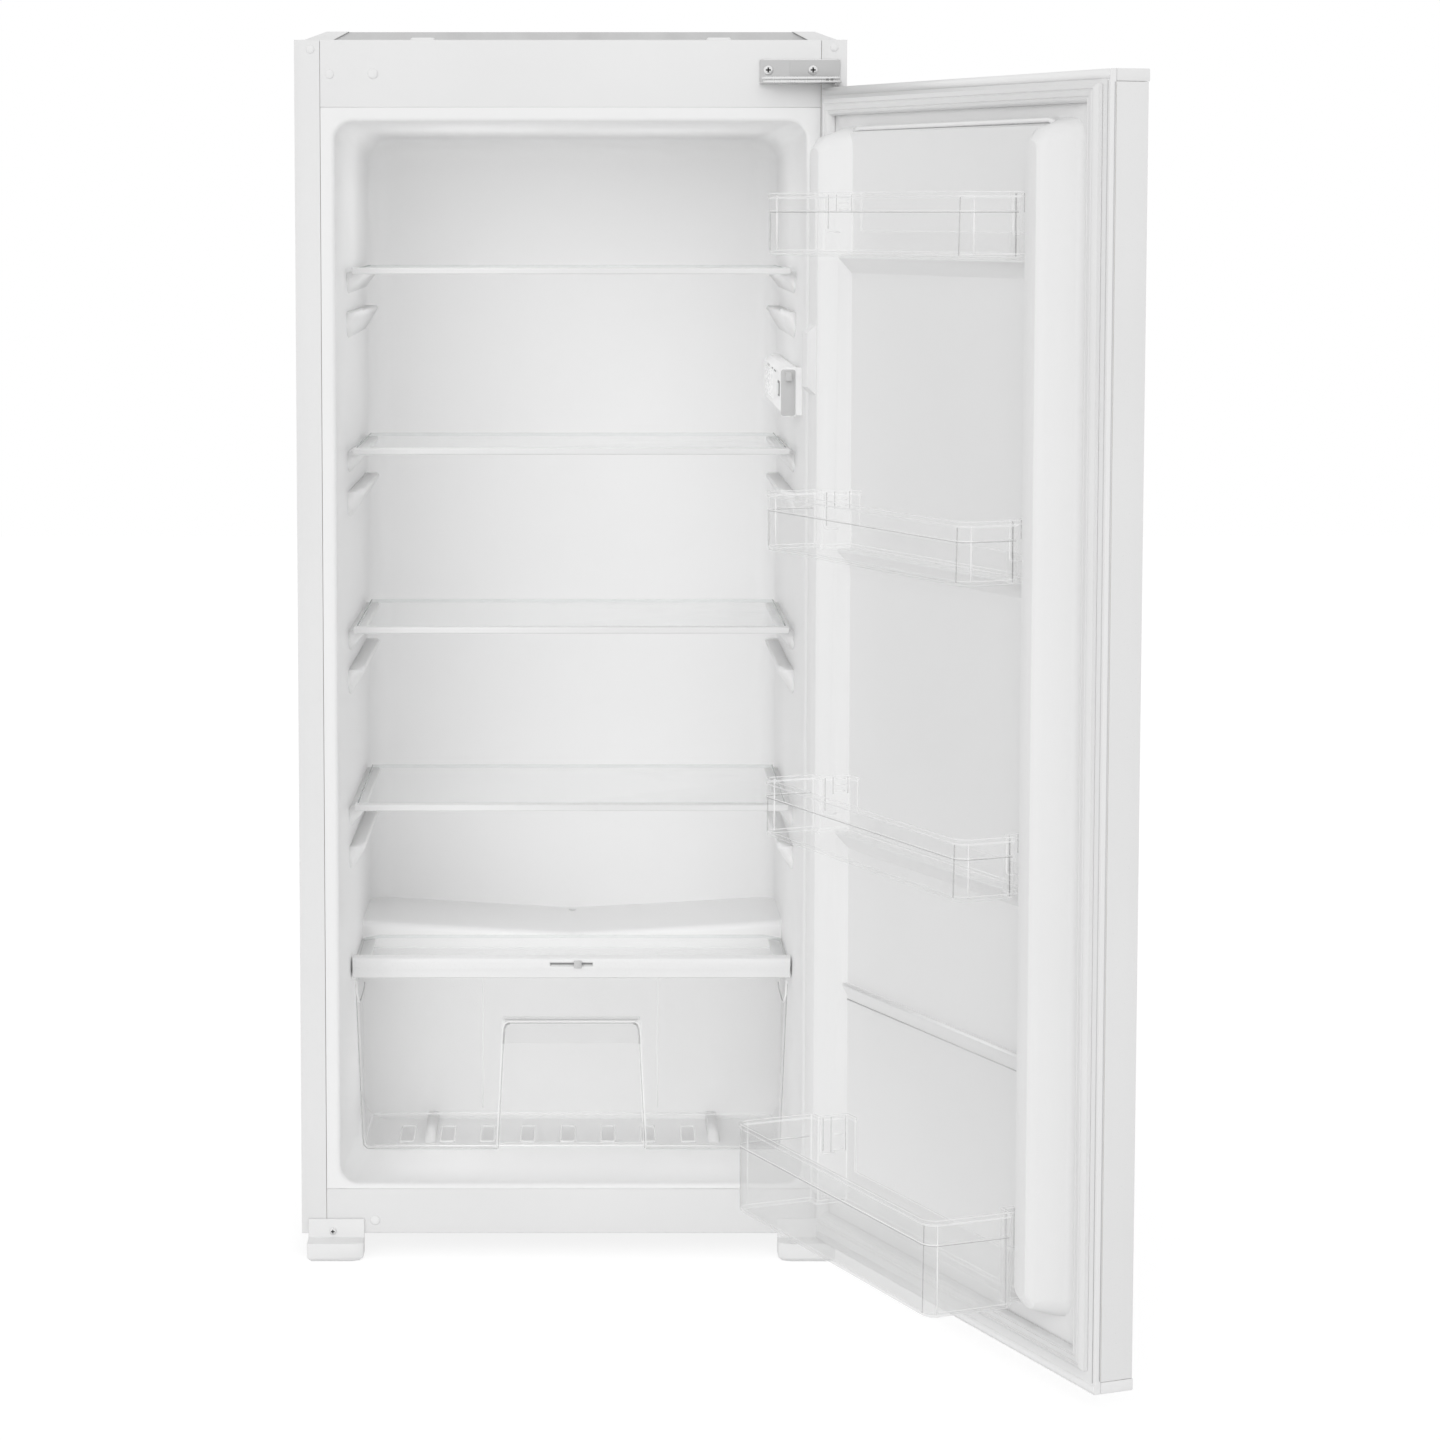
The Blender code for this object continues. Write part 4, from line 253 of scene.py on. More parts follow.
# Black for the painted shade in the screws' cross recesses.
RECESS_PAINTED_SHADE = surface("painted_screw_slot_shade", 0.04, 0.06, 0.50, 900.0, 0.00001)
DECK = surface("pale_steel_deck", 0.58, 0.64, 0.50, 120.0, 0.00001, metal=1.0, blotch=30)
# Grey plastic of the housing's end, the plunger and the slider; also painted shade for the thin
# lines at the foot of the door's ridge and along the door's edge.
GREY_PLASTIC_AND_PAINTED_SHADE = surface("grey_plastic_and_painted_shade", 0.58, 0.62, 0.40, 1800.0, 0.00003)

SEE_THROUGH = (CLEAR, CLEAR_DRAWER_PAINTED_SHADE, CLEAR_DEEP, CLEAR_PAINTED_HIGHLIGHT, CLEAR_PAINTED_SHADE, GLASS, GLASS_LINE)

# Each node's finish, and the width of the rounding of its edges in millimetres. With 0 the node
# keeps its own mesh, or a piece further down stands for it.
FINISHES = {
    "side_panel": (ENAMEL, 0.3), "door_skin": (ENAMEL, 0.5),
    # The bottom rail takes the darker enamel rather than the rail plastic, as painted shade for
    # the light falling off towards the bottom.
    "top_rail": (RAIL, 0.35), "bottom_rail": (ENAMEL, 0.35), "door_cap": (RAIL, 0.6),
    "top_panel": (DECK, 0.6), "base_panel": (GALVANISED, 0.3),
    "back_panel": (PANEL_BACK, 0.3), "compartment_wall": (GALVANISED, 0.3),
    "compressor_tray": (GALVANISED, 0.4),
    "inner_liner": (LINER, 0), "door_liner": (DOOR_LINER, 1.6), "door_gasket": (GASKET, 0),
    "cabinet_foam": (FOAM, 0), "door_foam": (FOAM, 0),
    "evaporator_plate": (ALUMINIUM, 0), "drain_tube": (DRAIN, 0), "drain_pan": (PAN, 0.5),
    "hinge_bracket": (STEEL, 0.4), "hinge_bracket_bottom": (RAIL, 0.6),
    "foot_bracket": (RAIL, 1.0), "rear_foot": (RUBBER, 1.2),
    "thermostat_housing": (HOUSING_PAINTED_GLOW, 0.8), "thermostat_dial": (CAP_WHITE, 0.3),
    "switch_plunger": (GREY_PLASTIC_AND_PAINTED_SHADE, 0.5),
    "lamp_cover": (LAMP_COVER, 0.3), "lamp": (LAMP, 0.2),
    "compressor_mount": (RUBBER, 1.0), "compressor": (DARK_STEEL, 1.0),
    "start_relay": (RELAY, 1.5),
    "condenser": (WIRE, 0), "filter_drier": (COPPER, 0),
    "discharge_pipe": (COPPER, 0), "suction_pipe": (COPPER, 0), "capillary_tube": (COPPER, 0),
    "crisper_cover_trim": (TRIM, 0), "crisper_cover_glass": (GLASS, 0.4),
    "crisper_drawer": (CLEAR_DRAWER_PAINTED_SHADE, 0.5), "humidity_slider": (GREY_PLASTIC_AND_PAINTED_SHADE, 0.3),
    "door_rack": (CLEAR, 0.5), "door_rack_4": (CLEAR_DEEP, 0.5),
}
SHELF_GLASS_FINISH = (GLASS, 0.4)
SHELF_TRIM_FINISH = (SHELF_TRIM, 0.4)


def finish_of(name):
    """The finish of the longest key that the node's name starts with."""
    if name.startswith("shelf_"):
        return SHELF_GLASS_FINISH if name.endswith("glass") else SHELF_TRIM_FINISH
    return FINISHES[max((key for key in FINISHES if name.startswith(key)), key=len)]


# Shapes, in millimetres. A point of the cabinet is its X, its depth behind the front and its
# height. A point of the door is its distance from the hinge side's edge, its distance in front
# of the inner plane and its height.

FRONT_Y = -270.0
DOOR_EDGE_X = 245.497
DOOR_EDGE_Y = -281.781
DOOR_COS = 0.39073
DOOR_SIN = 0.92050
CORNER_STEPS = 8
CIRCLE_STEPS = 24
BEAD_STEPS = 8
EDGE_ANGLE = 32
MERGE_DISTANCE = 0.02 * MM
FLAT_ANGLE = 0.4
UPRIGHT = 0.5


def on_cabinet(point):
    """A point of the cabinet in the frame, in metres."""
    x, depth, z = point
    return Vector((x, depth + FRONT_Y, z)) * MM


def on_door(point):
    """A point of the open door in the frame, in metres."""
    across, out, z = point
    return Vector((DOOR_EDGE_X + DOOR_COS * across - DOOR_SIN * out,
                   DOOR_EDGE_Y - DOOR_SIN * across - DOOR_COS * out, z)) * MM


def loft(bm, rings, closed=False):
    """Skins a body over rings with equally many points. A closed one ends where it starts."""
    rows = [[bm.verts.new(point) for point in ring] for ring in rings]
    pairs = list(zip(rows, rows[1:]))
    if closed:
        pairs.append((rows[-1], rows[0]))
    for low, high in pairs:
        for k in range(len(low)):
            j = (k + 1) % len(low)
            bm.faces.new((low[k], low[j], high[j], high[k]))
    if not closed:
        bm.faces.new(list(reversed(rows[0])))
        bm.faces.new(rows[-1])


def block(bm, low, high):
    """Adds the box between two opposite corners."""
    corners = ((0, 0), (1, 0), (1, 1), (0, 1))
    ends = (low, high)
    loft(bm, [[(ends[i][0], ends[j][1], end[2]) for i, j in corners] for end in ends])


def arc(centre, radius, start, turn, steps):
    """Points along an arc, both of its ends among them."""
    return [(centre[0] + radius * math.cos(start + turn * k / steps),
             centre[1] + radius * math.sin(start + turn * k / steps)) for k in range(steps + 1)]


def rounded(low_u, high_u, low_v, high_v, radius, steps=CORNER_STEPS):
    """A rectangle with round corners, anticlockwise."""
    centres = ((low_u + radius, low_v + radius), (high_u - radius, low_v + radius),
               (high_u - radius, high_v - radius), (low_u + radius, high_v - radius))
    points = []
    for k, centre in enumerate(centres):
        points += arc(centre, radius, math.pi + k * QUARTER, QUARTER, steps)
    return points


def circle(centre, radius):
    """Points once round a circle."""
    return arc(centre, radius, 0.0, math.tau, CIRCLE_STEPS)[:-1]


def sweep(bm, points, radius):
    """A round bead along a line of points."""
    path = [Vector(point) for point in points]
    side = None
    rings = []
    for before, point, after in zip(path[:1] + path, path, path[1:] + path[-1:]):
        along = (after - before).normalized()
        side = side or along.orthogonal()
        side = (side - along * side.dot(along)).normalized()
        other = along.cross(side)
        rings.append([point + radius * (side * math.cos(turn) + other * math.sin(turn))
                      for turn in (math.tau * j / BEAD_STEPS for j in range(BEAD_STEPS))])
    loft(bm, rings)


def turned(bm, centre, rings, scale):
    """A turned shape standing out of the front: rings of radius and reach."""
    x, depth, z = centre
    loft(bm, [[(u, depth - reach * scale, v) for u, v in circle((x, z), radius * scale)]
              for radius, reach in rings])


def add_object(name, bm, place=None):
    """An object of the mesh in the making, its points placed in the frame."""
    if place:
        for vert in bm.verts:
            vert.co = place(vert.co)
    bmesh.ops.recalc_face_normals(bm, faces=bm.faces)
    mesh = bpy.data.meshes.new(name)
    bm.to_mesh(mesh)
    bm.free()
    obj = bpy.data.objects.new(name, mesh)
    bpy.context.scene.collection.objects.link(obj)
    return obj


def settle(obj):
    """Applies an object's modifiers."""
    bpy.context.view_layer.update()
    graph = bpy.context.evaluated_depsgraph_get()
    mesh = bpy.data.meshes.new_from_object(obj.evaluated_get(graph))
    obj.modifiers.clear()
    obj.data = mesh


def combine(obj, tool, operation):
    """A boolean with a tool that is then removed."""
    modifier = obj.modifiers.new("boolean", "BOOLEAN")
    modifier.operation, modifier.solver, modifier.object = operation, "EXACT", tool
    settle(obj)
    bpy.data.objects.remove(tool)


def round_edges(obj, width, segments=2, rim=None):
    """Rounds the sharp edges, with normals that keep the flats flat.

    Where rim is given, the round edges take that material.
    """
    if rim:
        obj.data.materials.append(rim)
    for polygon in obj.data.polygons:
        polygon.use_smooth = True
    if width:
        bevel = obj.modifiers.new("rounding", "BEVEL")
        bevel.width, bevel.segments = width * MM, segments
        bevel.limit_method, bevel.angle_limit = "ANGLE", math.radians(EDGE_ANGLE)
        bevel.harden_normals = True
        bevel.miter_outer = "MITER_ARC"
        bevel.material = len(obj.data.materials) - 1 if rim else -1
        settle(obj)
    return obj


def piece(obj, body, mat, replaced=()):
    """A finished piece: its material, its body and the nodes that it stands for."""
    if not obj.data.materials:
        obj.data.materials.append(mat)
    if mat in SEE_THROUGH:
        obj.visible_shadow = obj.visible_diffuse = False
    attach(obj, body)
    if replaced:
        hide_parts(*replaced)


def made(name, bm, place, body, mat, width=0.0, replaced=()):
    """Turns a mesh in the making into a piece, its edges rounded by width millimetres."""
    piece(round_edges(add_object(name, bm, place), width), body, mat, replaced)


def refined(name, width, mat, rim=None, sides=None):
    """A copy of a node with its edges rounded, standing for the node.

    The round edges take the material rim, and the faces that stand upright take sides.
    """
    bm = bmesh.new()
    bm.from_mesh(NODES[name].data)
    bmesh.ops.remove_doubles(bm, verts=bm.verts, dist=MERGE_DISTANCE)
    bmesh.ops.dissolve_limit(bm, angle_limit=math.radians(FLAT_ANGLE), verts=bm.verts,
                             edges=bm.edges)
    obj = add_object(name + "_body", bm)
    obj.data.materials.append(mat)
    round_edges(obj, width, rim=rim)
    if sides:
        obj.data.materials.append(sides)
        for polygon in obj.data.polygons:
            if abs(polygon.normal.z) < UPRIGHT:
                polygon.material_index = len(obj.data.materials) - 1
    piece(obj, BODY_OF[name], mat, (name,))


for node_name, node in NODES.items():
    node_finish, node_width = finish_of(node_name)
    node.data.materials.clear()
    node.data.materials.append(node_finish)
    if node_width:
        # The round edges of clear nodes take the painted highlight.
        refined(node_name, node_width, node_finish,
                rim=CLEAR_PAINTED_HIGHLIGHT if node_finish in (CLEAR, CLEAR_DRAWER_PAINTED_SHADE, CLEAR_DEEP) else None,
                sides=GLASS_EDGE if node_finish == GLASS else None)


# Inner liner: flange, rolled lip, walls, round rear corners, hump, ribs and runners

LIP_RADIUS = 4.5
MOUTH_HALF_WIDTH = 230.9
MOUTH_BOTTOM = 50.5
MOUTH_TOP = 1108.9
MOUTH_RADIUS = 18.0
FLOOR_DROP = 8.5
INSIDE_BOTTOM = MOUTH_BOTTOM - FLOOR_DROP
REAR_DEPTH = 450.0
REAR_HALF_WIDTH = 225.0
REAR_TOP = 1101.9
REAR_ROUNDING = 26.0
REAR_RADIUS = 30.0
LINER_WALL = 3.0
LINER_SHARP_ANGLE = 28
FLANGE_HALF_WIDTH = 244.8
FLANGE_BOTTOM = 45.8
FLANGE_TOP = 1122.5
FLANGE_THICKNESS = 2.5
SHELL_START = 1.2
HUMP_FRONT = 305.0
HUMP_HALF_WIDTH = 240.0
HUMP_SHOULDER_X = 110.0
HUMP_ROUNDING = 7.0
DRAIN_DEPTH = 435.0
DRAIN_RADIUS = 4.5
SHELF_TOP = 964.0
SHELF_THICKNESS = 4.3
SHELF_PITCH = 182.5
RIB_ROOT = 229.5
RIB_REACH = 15.5
RIB_BACK = 400.0
RIB_GAP = 40.0
NOSE_LENGTH = 18.0
HOOK_LENGTH = 20.0
COVER_RIB_TOP = 240.9
COVER_RIB_BACK = 300.0
RUNNER_X = 150.0
RUNNER_FOOT = 40.5


def cavity_sections(grow):
    """Depth, half width, bottom, top and corner radius of the inside, front to back."""
    sections = [(-6.0, MOUTH_HALF_WIDTH + LIP_RADIUS, MOUTH_BOTTOM - LIP_RADIUS,
                 MOUTH_TOP + LIP_RADIUS, MOUTH_RADIUS + LIP_RADIUS)]
    for k in range(7):
        turn = QUARTER * k / 6
        out = LIP_RADIUS * (1 - math.sin(turn))
        sections.append((LIP_RADIUS * (1 - math.cos(turn)), MOUTH_HALF_WIDTH + out,
                         MOUTH_BOTTOM - out, MOUTH_TOP + out, MOUTH_RADIUS + out))
    for k in range(7):
        share = (1 - math.cos(math.pi * k / 6)) / 2
        sections.append((12.0 + 3.0 * k, MOUTH_HALF_WIDTH, MOUTH_BOTTOM - FLOOR_DROP * share,
                         MOUTH_TOP, MOUTH_RADIUS))
    sections += [(105.0, 228.5, INSIDE_BOTTOM, 1107.15, MOUTH_RADIUS),
                 (130.0, 227.0, INSIDE_BOTTOM, 1105.4, MOUTH_RADIUS)]
    for k in range(9):
        turn = QUARTER * k / 8
        shrink = REAR_ROUNDING * (1 - math.cos(turn))
        sections.append((REAR_DEPTH + grow - REAR_ROUNDING * (1 - math.sin(turn)),
                         REAR_HALF_WIDTH - shrink, INSIDE_BOTTOM + shrink, REAR_TOP - shrink,
                         REAR_RADIUS - shrink))
    return [(depth, half + grow, bottom - grow, top + grow, radius + grow)
            for depth, half, bottom, top, radius in sections]


def cavity(name, grow):
    """The body that fills the inside, larger by grow all round."""
    bm = bmesh.new()
    loft(bm, [[(x, depth, z) for x, z in rounded(-half, half, bottom, top, radius)]
              for depth, half, bottom, top, radius in cavity_sections(grow)])
    return add_object(name, bm, on_cabinet)


def hump(name, grow):
    """The rise of the floor over the compressor, with a valley down to the drain."""
    bm = bmesh.new()
    side, shoulder, valley = 260.1 - grow, 252.3 - grow, 246.3 - grow
    profile = [(-HUMP_HALF_WIDTH, 30.0), (HUMP_HALF_WIDTH, 30.0), (HUMP_HALF_WIDTH, side),
               (HUMP_SHOULDER_X, shoulder), (0.0, valley), (-HUMP_SHOULDER_X, shoulder),
               (-HUMP_HALF_WIDTH, side)]
    loft(bm, [[(x, depth, z) for x, z in profile] for depth in (HUMP_FRONT + grow, 470.0)])
    return round_edges(add_object(name, bm, on_cabinet), HUMP_ROUNDING, 4)


def rib(bm, side, top, height, front, back, hook=0.0):
    """One moulded rib: flat on top with a round edge, sloping back to the wall, round nose."""
    stations = []
    for k in range(7):
        turn = QUARTER * (k + 1) / 7
        stations.append((front + NOSE_LENGTH * (1 - math.cos(turn)),
                         0.25 + 0.75 * math.sin(turn)))
    stations.append((back, 1.0))
    rings = []
    for depth, share in stations:
        near = max(0.0, 1 - (depth - front) / HOOK_LENGTH)
        lift = hook * math.sin(math.pi * min(1.0, near * 1.4)) if hook else 0.0
        tip = 227.0 - RIB_REACH * share
        low = top - height * (0.45 + 0.55 * share)
        points = [(RIB_ROOT, top), (tip + 5.0, top + lift * 0.6), (tip + 2.0, top + lift),
                  (tip + 0.6, top - 0.6 + lift), (tip, top - 2.2 + lift * 0.5),
                  (tip + 0.5, top - 4.2), (tip + 2.2, top - 6.4),
                  (tip + 6.0, top - 10.5 * height / 22.0), (225.5, low + 1.5),
                  (RIB_ROOT, low)]
        rings.append([(side * x, depth, z) for x, z in points])
    loft(bm, rings)


def liner_shell():
    """The flange and the thin shell behind it, with its hump and drain hole."""
    bm = bmesh.new()
    block(bm, (-FLANGE_HALF_WIDTH, 0.0, FLANGE_BOTTOM),
          (FLANGE_HALF_WIDTH, FLANGE_THICKNESS, FLANGE_TOP))
    body = round_edges(add_object("inner_liner_body", bm, on_cabinet), 0.5)
    outside = cavity("tool_outside", LINER_WALL)
    bm = bmesh.new()
    block(bm, (-300.0, -20.0, 0.0), (300.0, SHELL_START, 1200.0))
    combine(outside, add_object("tool_front", bm, on_cabinet), "DIFFERENCE")
    combine(outside, hump("tool_hump_outside", LINER_WALL), "DIFFERENCE")
    combine(body, outside, "UNION")
    inside = cavity("tool_inside", 0.0)
    combine(inside, hump("tool_hump_inside", 0.0), "DIFFERENCE")
    combine(body, inside, "DIFFERENCE")
    bm = bmesh.new()
    loft(bm, [[(x, depth, z) for x, depth in circle((0.0, DRAIN_DEPTH), DRAIN_RADIUS)]
              for z in (238.0, 262.0)])
    combine(body, add_object("tool_drain", bm, on_cabinet), "DIFFERENCE")
    for polygon in body.data.polygons:
        polygon.use_smooth = True
    body.data.set_sharp_from_angle(angle=math.radians(LINER_SHARP_ANGLE))
    piece(body, "cabinet", LINER, ("inner_liner",))


def liner_ribs():
    """The ribs under the shelves and the cover, and the drawer's runners."""
    bm = bmesh.new()
    for side in (-1, 1):
        for k in range(4):
            top = SHELF_TOP - SHELF_PITCH * k - SHELF_THICKNESS
            rib(bm, side, top, 22.0, 120.8, RIB_BACK)
            rib(bm, side, top - RIB_GAP, 27.0, 118.0, RIB_BACK, hook=3.0)
        rib(bm, side, COVER_RIB_TOP, 7.0, 140.8, COVER_RIB_BACK)
        middle = side * RUNNER_X
        loft(bm, [[(middle - 6.0, depth, RUNNER_FOOT), (middle + 6.0, depth, RUNNER_FOOT),
                   (middle + 5.0, depth, top), (middle - 5.0, depth, top)]
                  for depth, top in ((200.0, 41.9), (225.0, 50.4), (232.0, 51.2), (299.0, 51.2))])
    made("liner_ribs", bm, on_cabinet, "cabinet", LINER)


liner_shell()
liner_ribs()


# Top deck, plugs and hinge hardware

DECK_FOOT = 1188.2
DECK_FRONT = 28.4
DECK_FRONT_SLOPE = 0.33
DECK_BACK = 505.0
DECK_TOP = 1197.9
DECK_CLIPS = (-144.5, 145.0)
CORNER_GAPS = ((-268.5, -245.4), (245.4, 268.5))
# X, height and size of the plugs, and X, depth, height and size of the screws
PLUGS = ((-254.1, 1179.3, 0.85), (-235.4, 1155.1, 0.9), (-193.1, 1155.6, 1.05),
         (257.5, 1181.0, 0.8), (-196.4, 13.4, 1.0))
SCREWS = ((192.9, -2.4, 1159.1, 1.0), (236.6, -3.3, 1159.1, 1.0), (-238.7, -2.4, 2.9, 0.75))
RAIL_SEAMS = (1122.6, 45.2)
RAIL_REACH = 244.6
HINGE_END = 262.0
DOME = ((5.0, -0.6), (5.0, 0.25), (4.6, 0.8), (3.6, 1.3), (2.0, 1.65), (0.3, 1.75))
SCREW_HEAD = ((4.8, -0.2), (4.8, 0.9), (4.2, 1.7), (3.0, 2.2), (1.4, 2.4), (0.3, 2.4))


def deck_folds():
    """The deck's folded flanks, left and right."""
    bm = bmesh.new()
    fold = [(266.4, DECK_FOOT), (236.0, DECK_FOOT), (218.0, DECK_TOP), (240.0, DECK_TOP)]
    for side in (-1, 1):
        loft(bm, [[(side * x, DECK_FRONT + DECK_FRONT_SLOPE * (z - DECK_FOOT), z)
                   for x, z in fold],
                  [(side * x, DECK_BACK, z) for x, z in fold]])
    made("deck_folds", bm, on_cabinet, "cabinet", ENAMEL, 0.4)


def rail_details():
    """The two clips and the corner plugs on the top rail, the domed plugs and the seams."""
    bm = bmesh.new()
    for middle in DECK_CLIPS:
        loft(bm, [[(x, depth, z) for x, depth in rounded(middle - half, middle + half,
                                                         3.0, 25.0, 3.0, 4)]
                  for half, z in ((12.0, 1188.0), (12.0, 1189.8), (10.6, 1190.8))])
    for left, right in CORNER_GAPS:
        block(bm, (left, 1.5, 1182.0), (right, 15.9, DECK_FOOT))
    made("deck_clips", bm, on_cabinet, "cabinet", RAIL, 0.3)
    bm = bmesh.new()
    for x, z, scale in PLUGS:
        turned(bm, (x, 0.0, z), DOME, scale)
    made("front_plugs", bm, on_cabinet, "cabinet", RAIL)
    bm = bmesh.new()
    for z in RAIL_SEAMS:
        sweep(bm, [(x, 0.8, z) for x in (-RAIL_REACH, 0.0, RAIL_REACH)], 0.6)
    made("rail_seam_beads", bm, on_cabinet, "cabinet", RAIL)


def screw_heads():
    """The cross-headed screws of the hinge bracket and of the foot, with black crosses of painted
    shade for their recesses.
    """
    bm = bmesh.new()
    slots = bmesh.new()
    for x, depth, z, scale in SCREWS:
        turned(bm, (x, depth, z), SCREW_HEAD, scale)
        face = depth - 2.5 * scale
        for wide, tall in ((2.5, 0.85), (0.85, 2.5)):
            block(slots, (x - wide * scale, face, z - tall * scale),
                  (x + wide * scale, face + 1.2, z + tall * scale))
    made("hinge_screws", bm, on_cabinet, "cabinet", BRIGHT_ZINC_AND_HIGHLIGHT)
    made("painted_recess_shades", slots, on_cabinet, "cabinet", RECESS_PAINTED_SHADE, 0.15)


def hinge_details():
    """The hinge bracket's second plate, its rolled edges in the bright finish as painted
    highlight, and dark marks of painted shade for the notches by its pin.
    """
    bm = bmesh.new()
    loft(bm, [[(x, depth, z) for x, z in rounded(214.0, 262.4, 1148.0, 1168.0, 2.0, 4)]
              for depth in (-3.3, -2.2)])
    made("hinge_second_plate", bm, on_cabinet, "cabinet", STEEL, 0.3)
    bm = bmesh.new()
    for height, depth, radius, start in ((1147.4, -24.6, 1.5, 187.0), (1150.7, -24.6, 1.4, 185.5),
                                         (1169.0, -1.6, 0.7, 187.0)):
        sweep(bm, [(start + (HINGE_END - start) * k / 8, depth, height) for k in range(9)],
              radius)
    made("hinge_rolled_edges", bm, on_cabinet, "cabinet", BRIGHT_ZINC_AND_HIGHLIGHT)
    bm = bmesh.new()
    for x in (248.0, 252.5):
        block(bm, (x, -26.3, 1148.6), (x + 2.6, -24.9, 1149.7))
    made("hinge_notch_shades", bm, on_cabinet, "cabinet", SHADOW_GAP, 0.15)


# Thermostat and lamp housing: grey end, plate on the wall, scale marks, painted shade of the slit
# over the dial

HOUSING_FACE = 208.2
# Front, back, bottom and top of each mark
SCALE_MARKS = ((292.0, 300.0, 858.8, 861.4), (270.0, 278.0, 858.4, 861.2),
               (190.0, 214.0, 859.0, 860.8), (128.0, 168.0, 858.6, 860.4))


def housing_details():
    """The housing's end, the plate behind it, its marks and a dark block of painted shade for the
    slit over the dial.
    """
    bm = bmesh.new()
    loft(bm, [[(x, depth, z) for x, z in rounded(209.4 + inset, 223.8 - inset, 818.6 + inset,
                                                 864.6 - inset, 2.4, 5)]
              for depth, inset in ((50.3, 0.0), (49.5, 0.0), (49.1, 0.5))])
    made("housing_end", bm, on_cabinet, "cabinet", GREY_PLASTIC_AND_PAINTED_SHADE)
    bm = bmesh.new()
    loft(bm, [[(x, depth, z) for depth, z in rounded(52.0, 384.0, 819.4, 865.2, 3.0, 5)]
              for x in (224.2, 227.4)])
    block(bm, (224.0, 51.0, 818.8), (231.2, 74.0, 866.0))
    made("housing_base", bm, on_cabinet, "cabinet", HOUSING_PAINTED_GLOW, 0.5)
    bm = bmesh.new()
    for front, back, bottom, top in SCALE_MARKS:
        block(bm, (HOUSING_FACE, front, bottom), (208.7, back, top))
    made("housing_marks", bm, on_cabinet, "cabinet", MARK, 0.1)
    bm = bmesh.new()
    loft(bm, [[(x, depth, z) for depth, z in rounded(56.0, 90.0, 837.5, 852.5, 2.0, 3)]
              for x in (208.1, 208.8)])
    made("dial_slit_shade", bm, on_cabinet, "cabinet", SHADOW_GAP)


# Crisper: cover trim, lines of the drawer's edges in painted highlight and shade, grip, floor
# pads; side lines of the panes

TRIM_HALF_WIDTH = 225.4
SLOT_HALF_WIDTH = 22.0
DRAWER_BOTTOM = 51.6
DRAWER_HEIGHT = 181.9
DRAWER_FRONT = 135.5
DRAWER_LEAN = 7.5
LINE_BOTTOM = 51.9
GRIP_FOOT = 52.5
GRIP_SHOULDER = 170.0
CORNER_TOP = 60.0
INSIDE_LINE = 54.3
PAD_COUNT = 8
PAD_FIRST = -172.0
PAD_PITCH = 42.0


def cover_trim():
    """The trim with its rolled front and the humidity slider's slot."""
    name = "crisper_cover_trim"
    body = BODY_OF[name]
    bm = bmesh.new()
    profile = [(140.0, 234.1), (126.0, 234.1), (124.2, 234.8), (122.9, 242.6), (122.1, 244.0),
               (122.0, 250.5), (122.3, 252.8), (123.4, 254.5), (125.2, 255.3), (139.6, 255.3),
               (140.0, 254.9)]
    loft(bm, [[(x, depth, z) for depth, z in profile]
              for x in (-TRIM_HALF_WIDTH, TRIM_HALF_WIDTH)])
    trim = add_object("crisper_cover_trim_body", bm, on_cabinet)
    bm = bmesh.new()
    block(bm, (-SLOT_HALF_WIDTH, 120.0, 246.8), (SLOT_HALF_WIDTH, 125.0, 250.8))
    combine(trim, add_object("tool_slot", bm, on_cabinet), "DIFFERENCE")
    round_edges(trim, 0.35)
    piece(trim, body, TRIM, (name,))
    bm = bmesh.new()
    block(bm, (-21.6, 124.2, 248.2), (21.6, 125.1, 249.4))
    made("slot_shadow", bm, on_cabinet, body, SHADOW_GAP, 0.1)


def drawer_face(z):
    """Depth of the drawer's outer front face at a height."""
    return DRAWER_FRONT - DRAWER_LEAN * (z - DRAWER_BOTTOM) / DRAWER_HEIGHT


def drawer_line(points, lift=0.3):
    """Points of X and height, laid just in front of the drawer's face."""
    return [(x, drawer_face(z) - lift, z) for x, z in points]


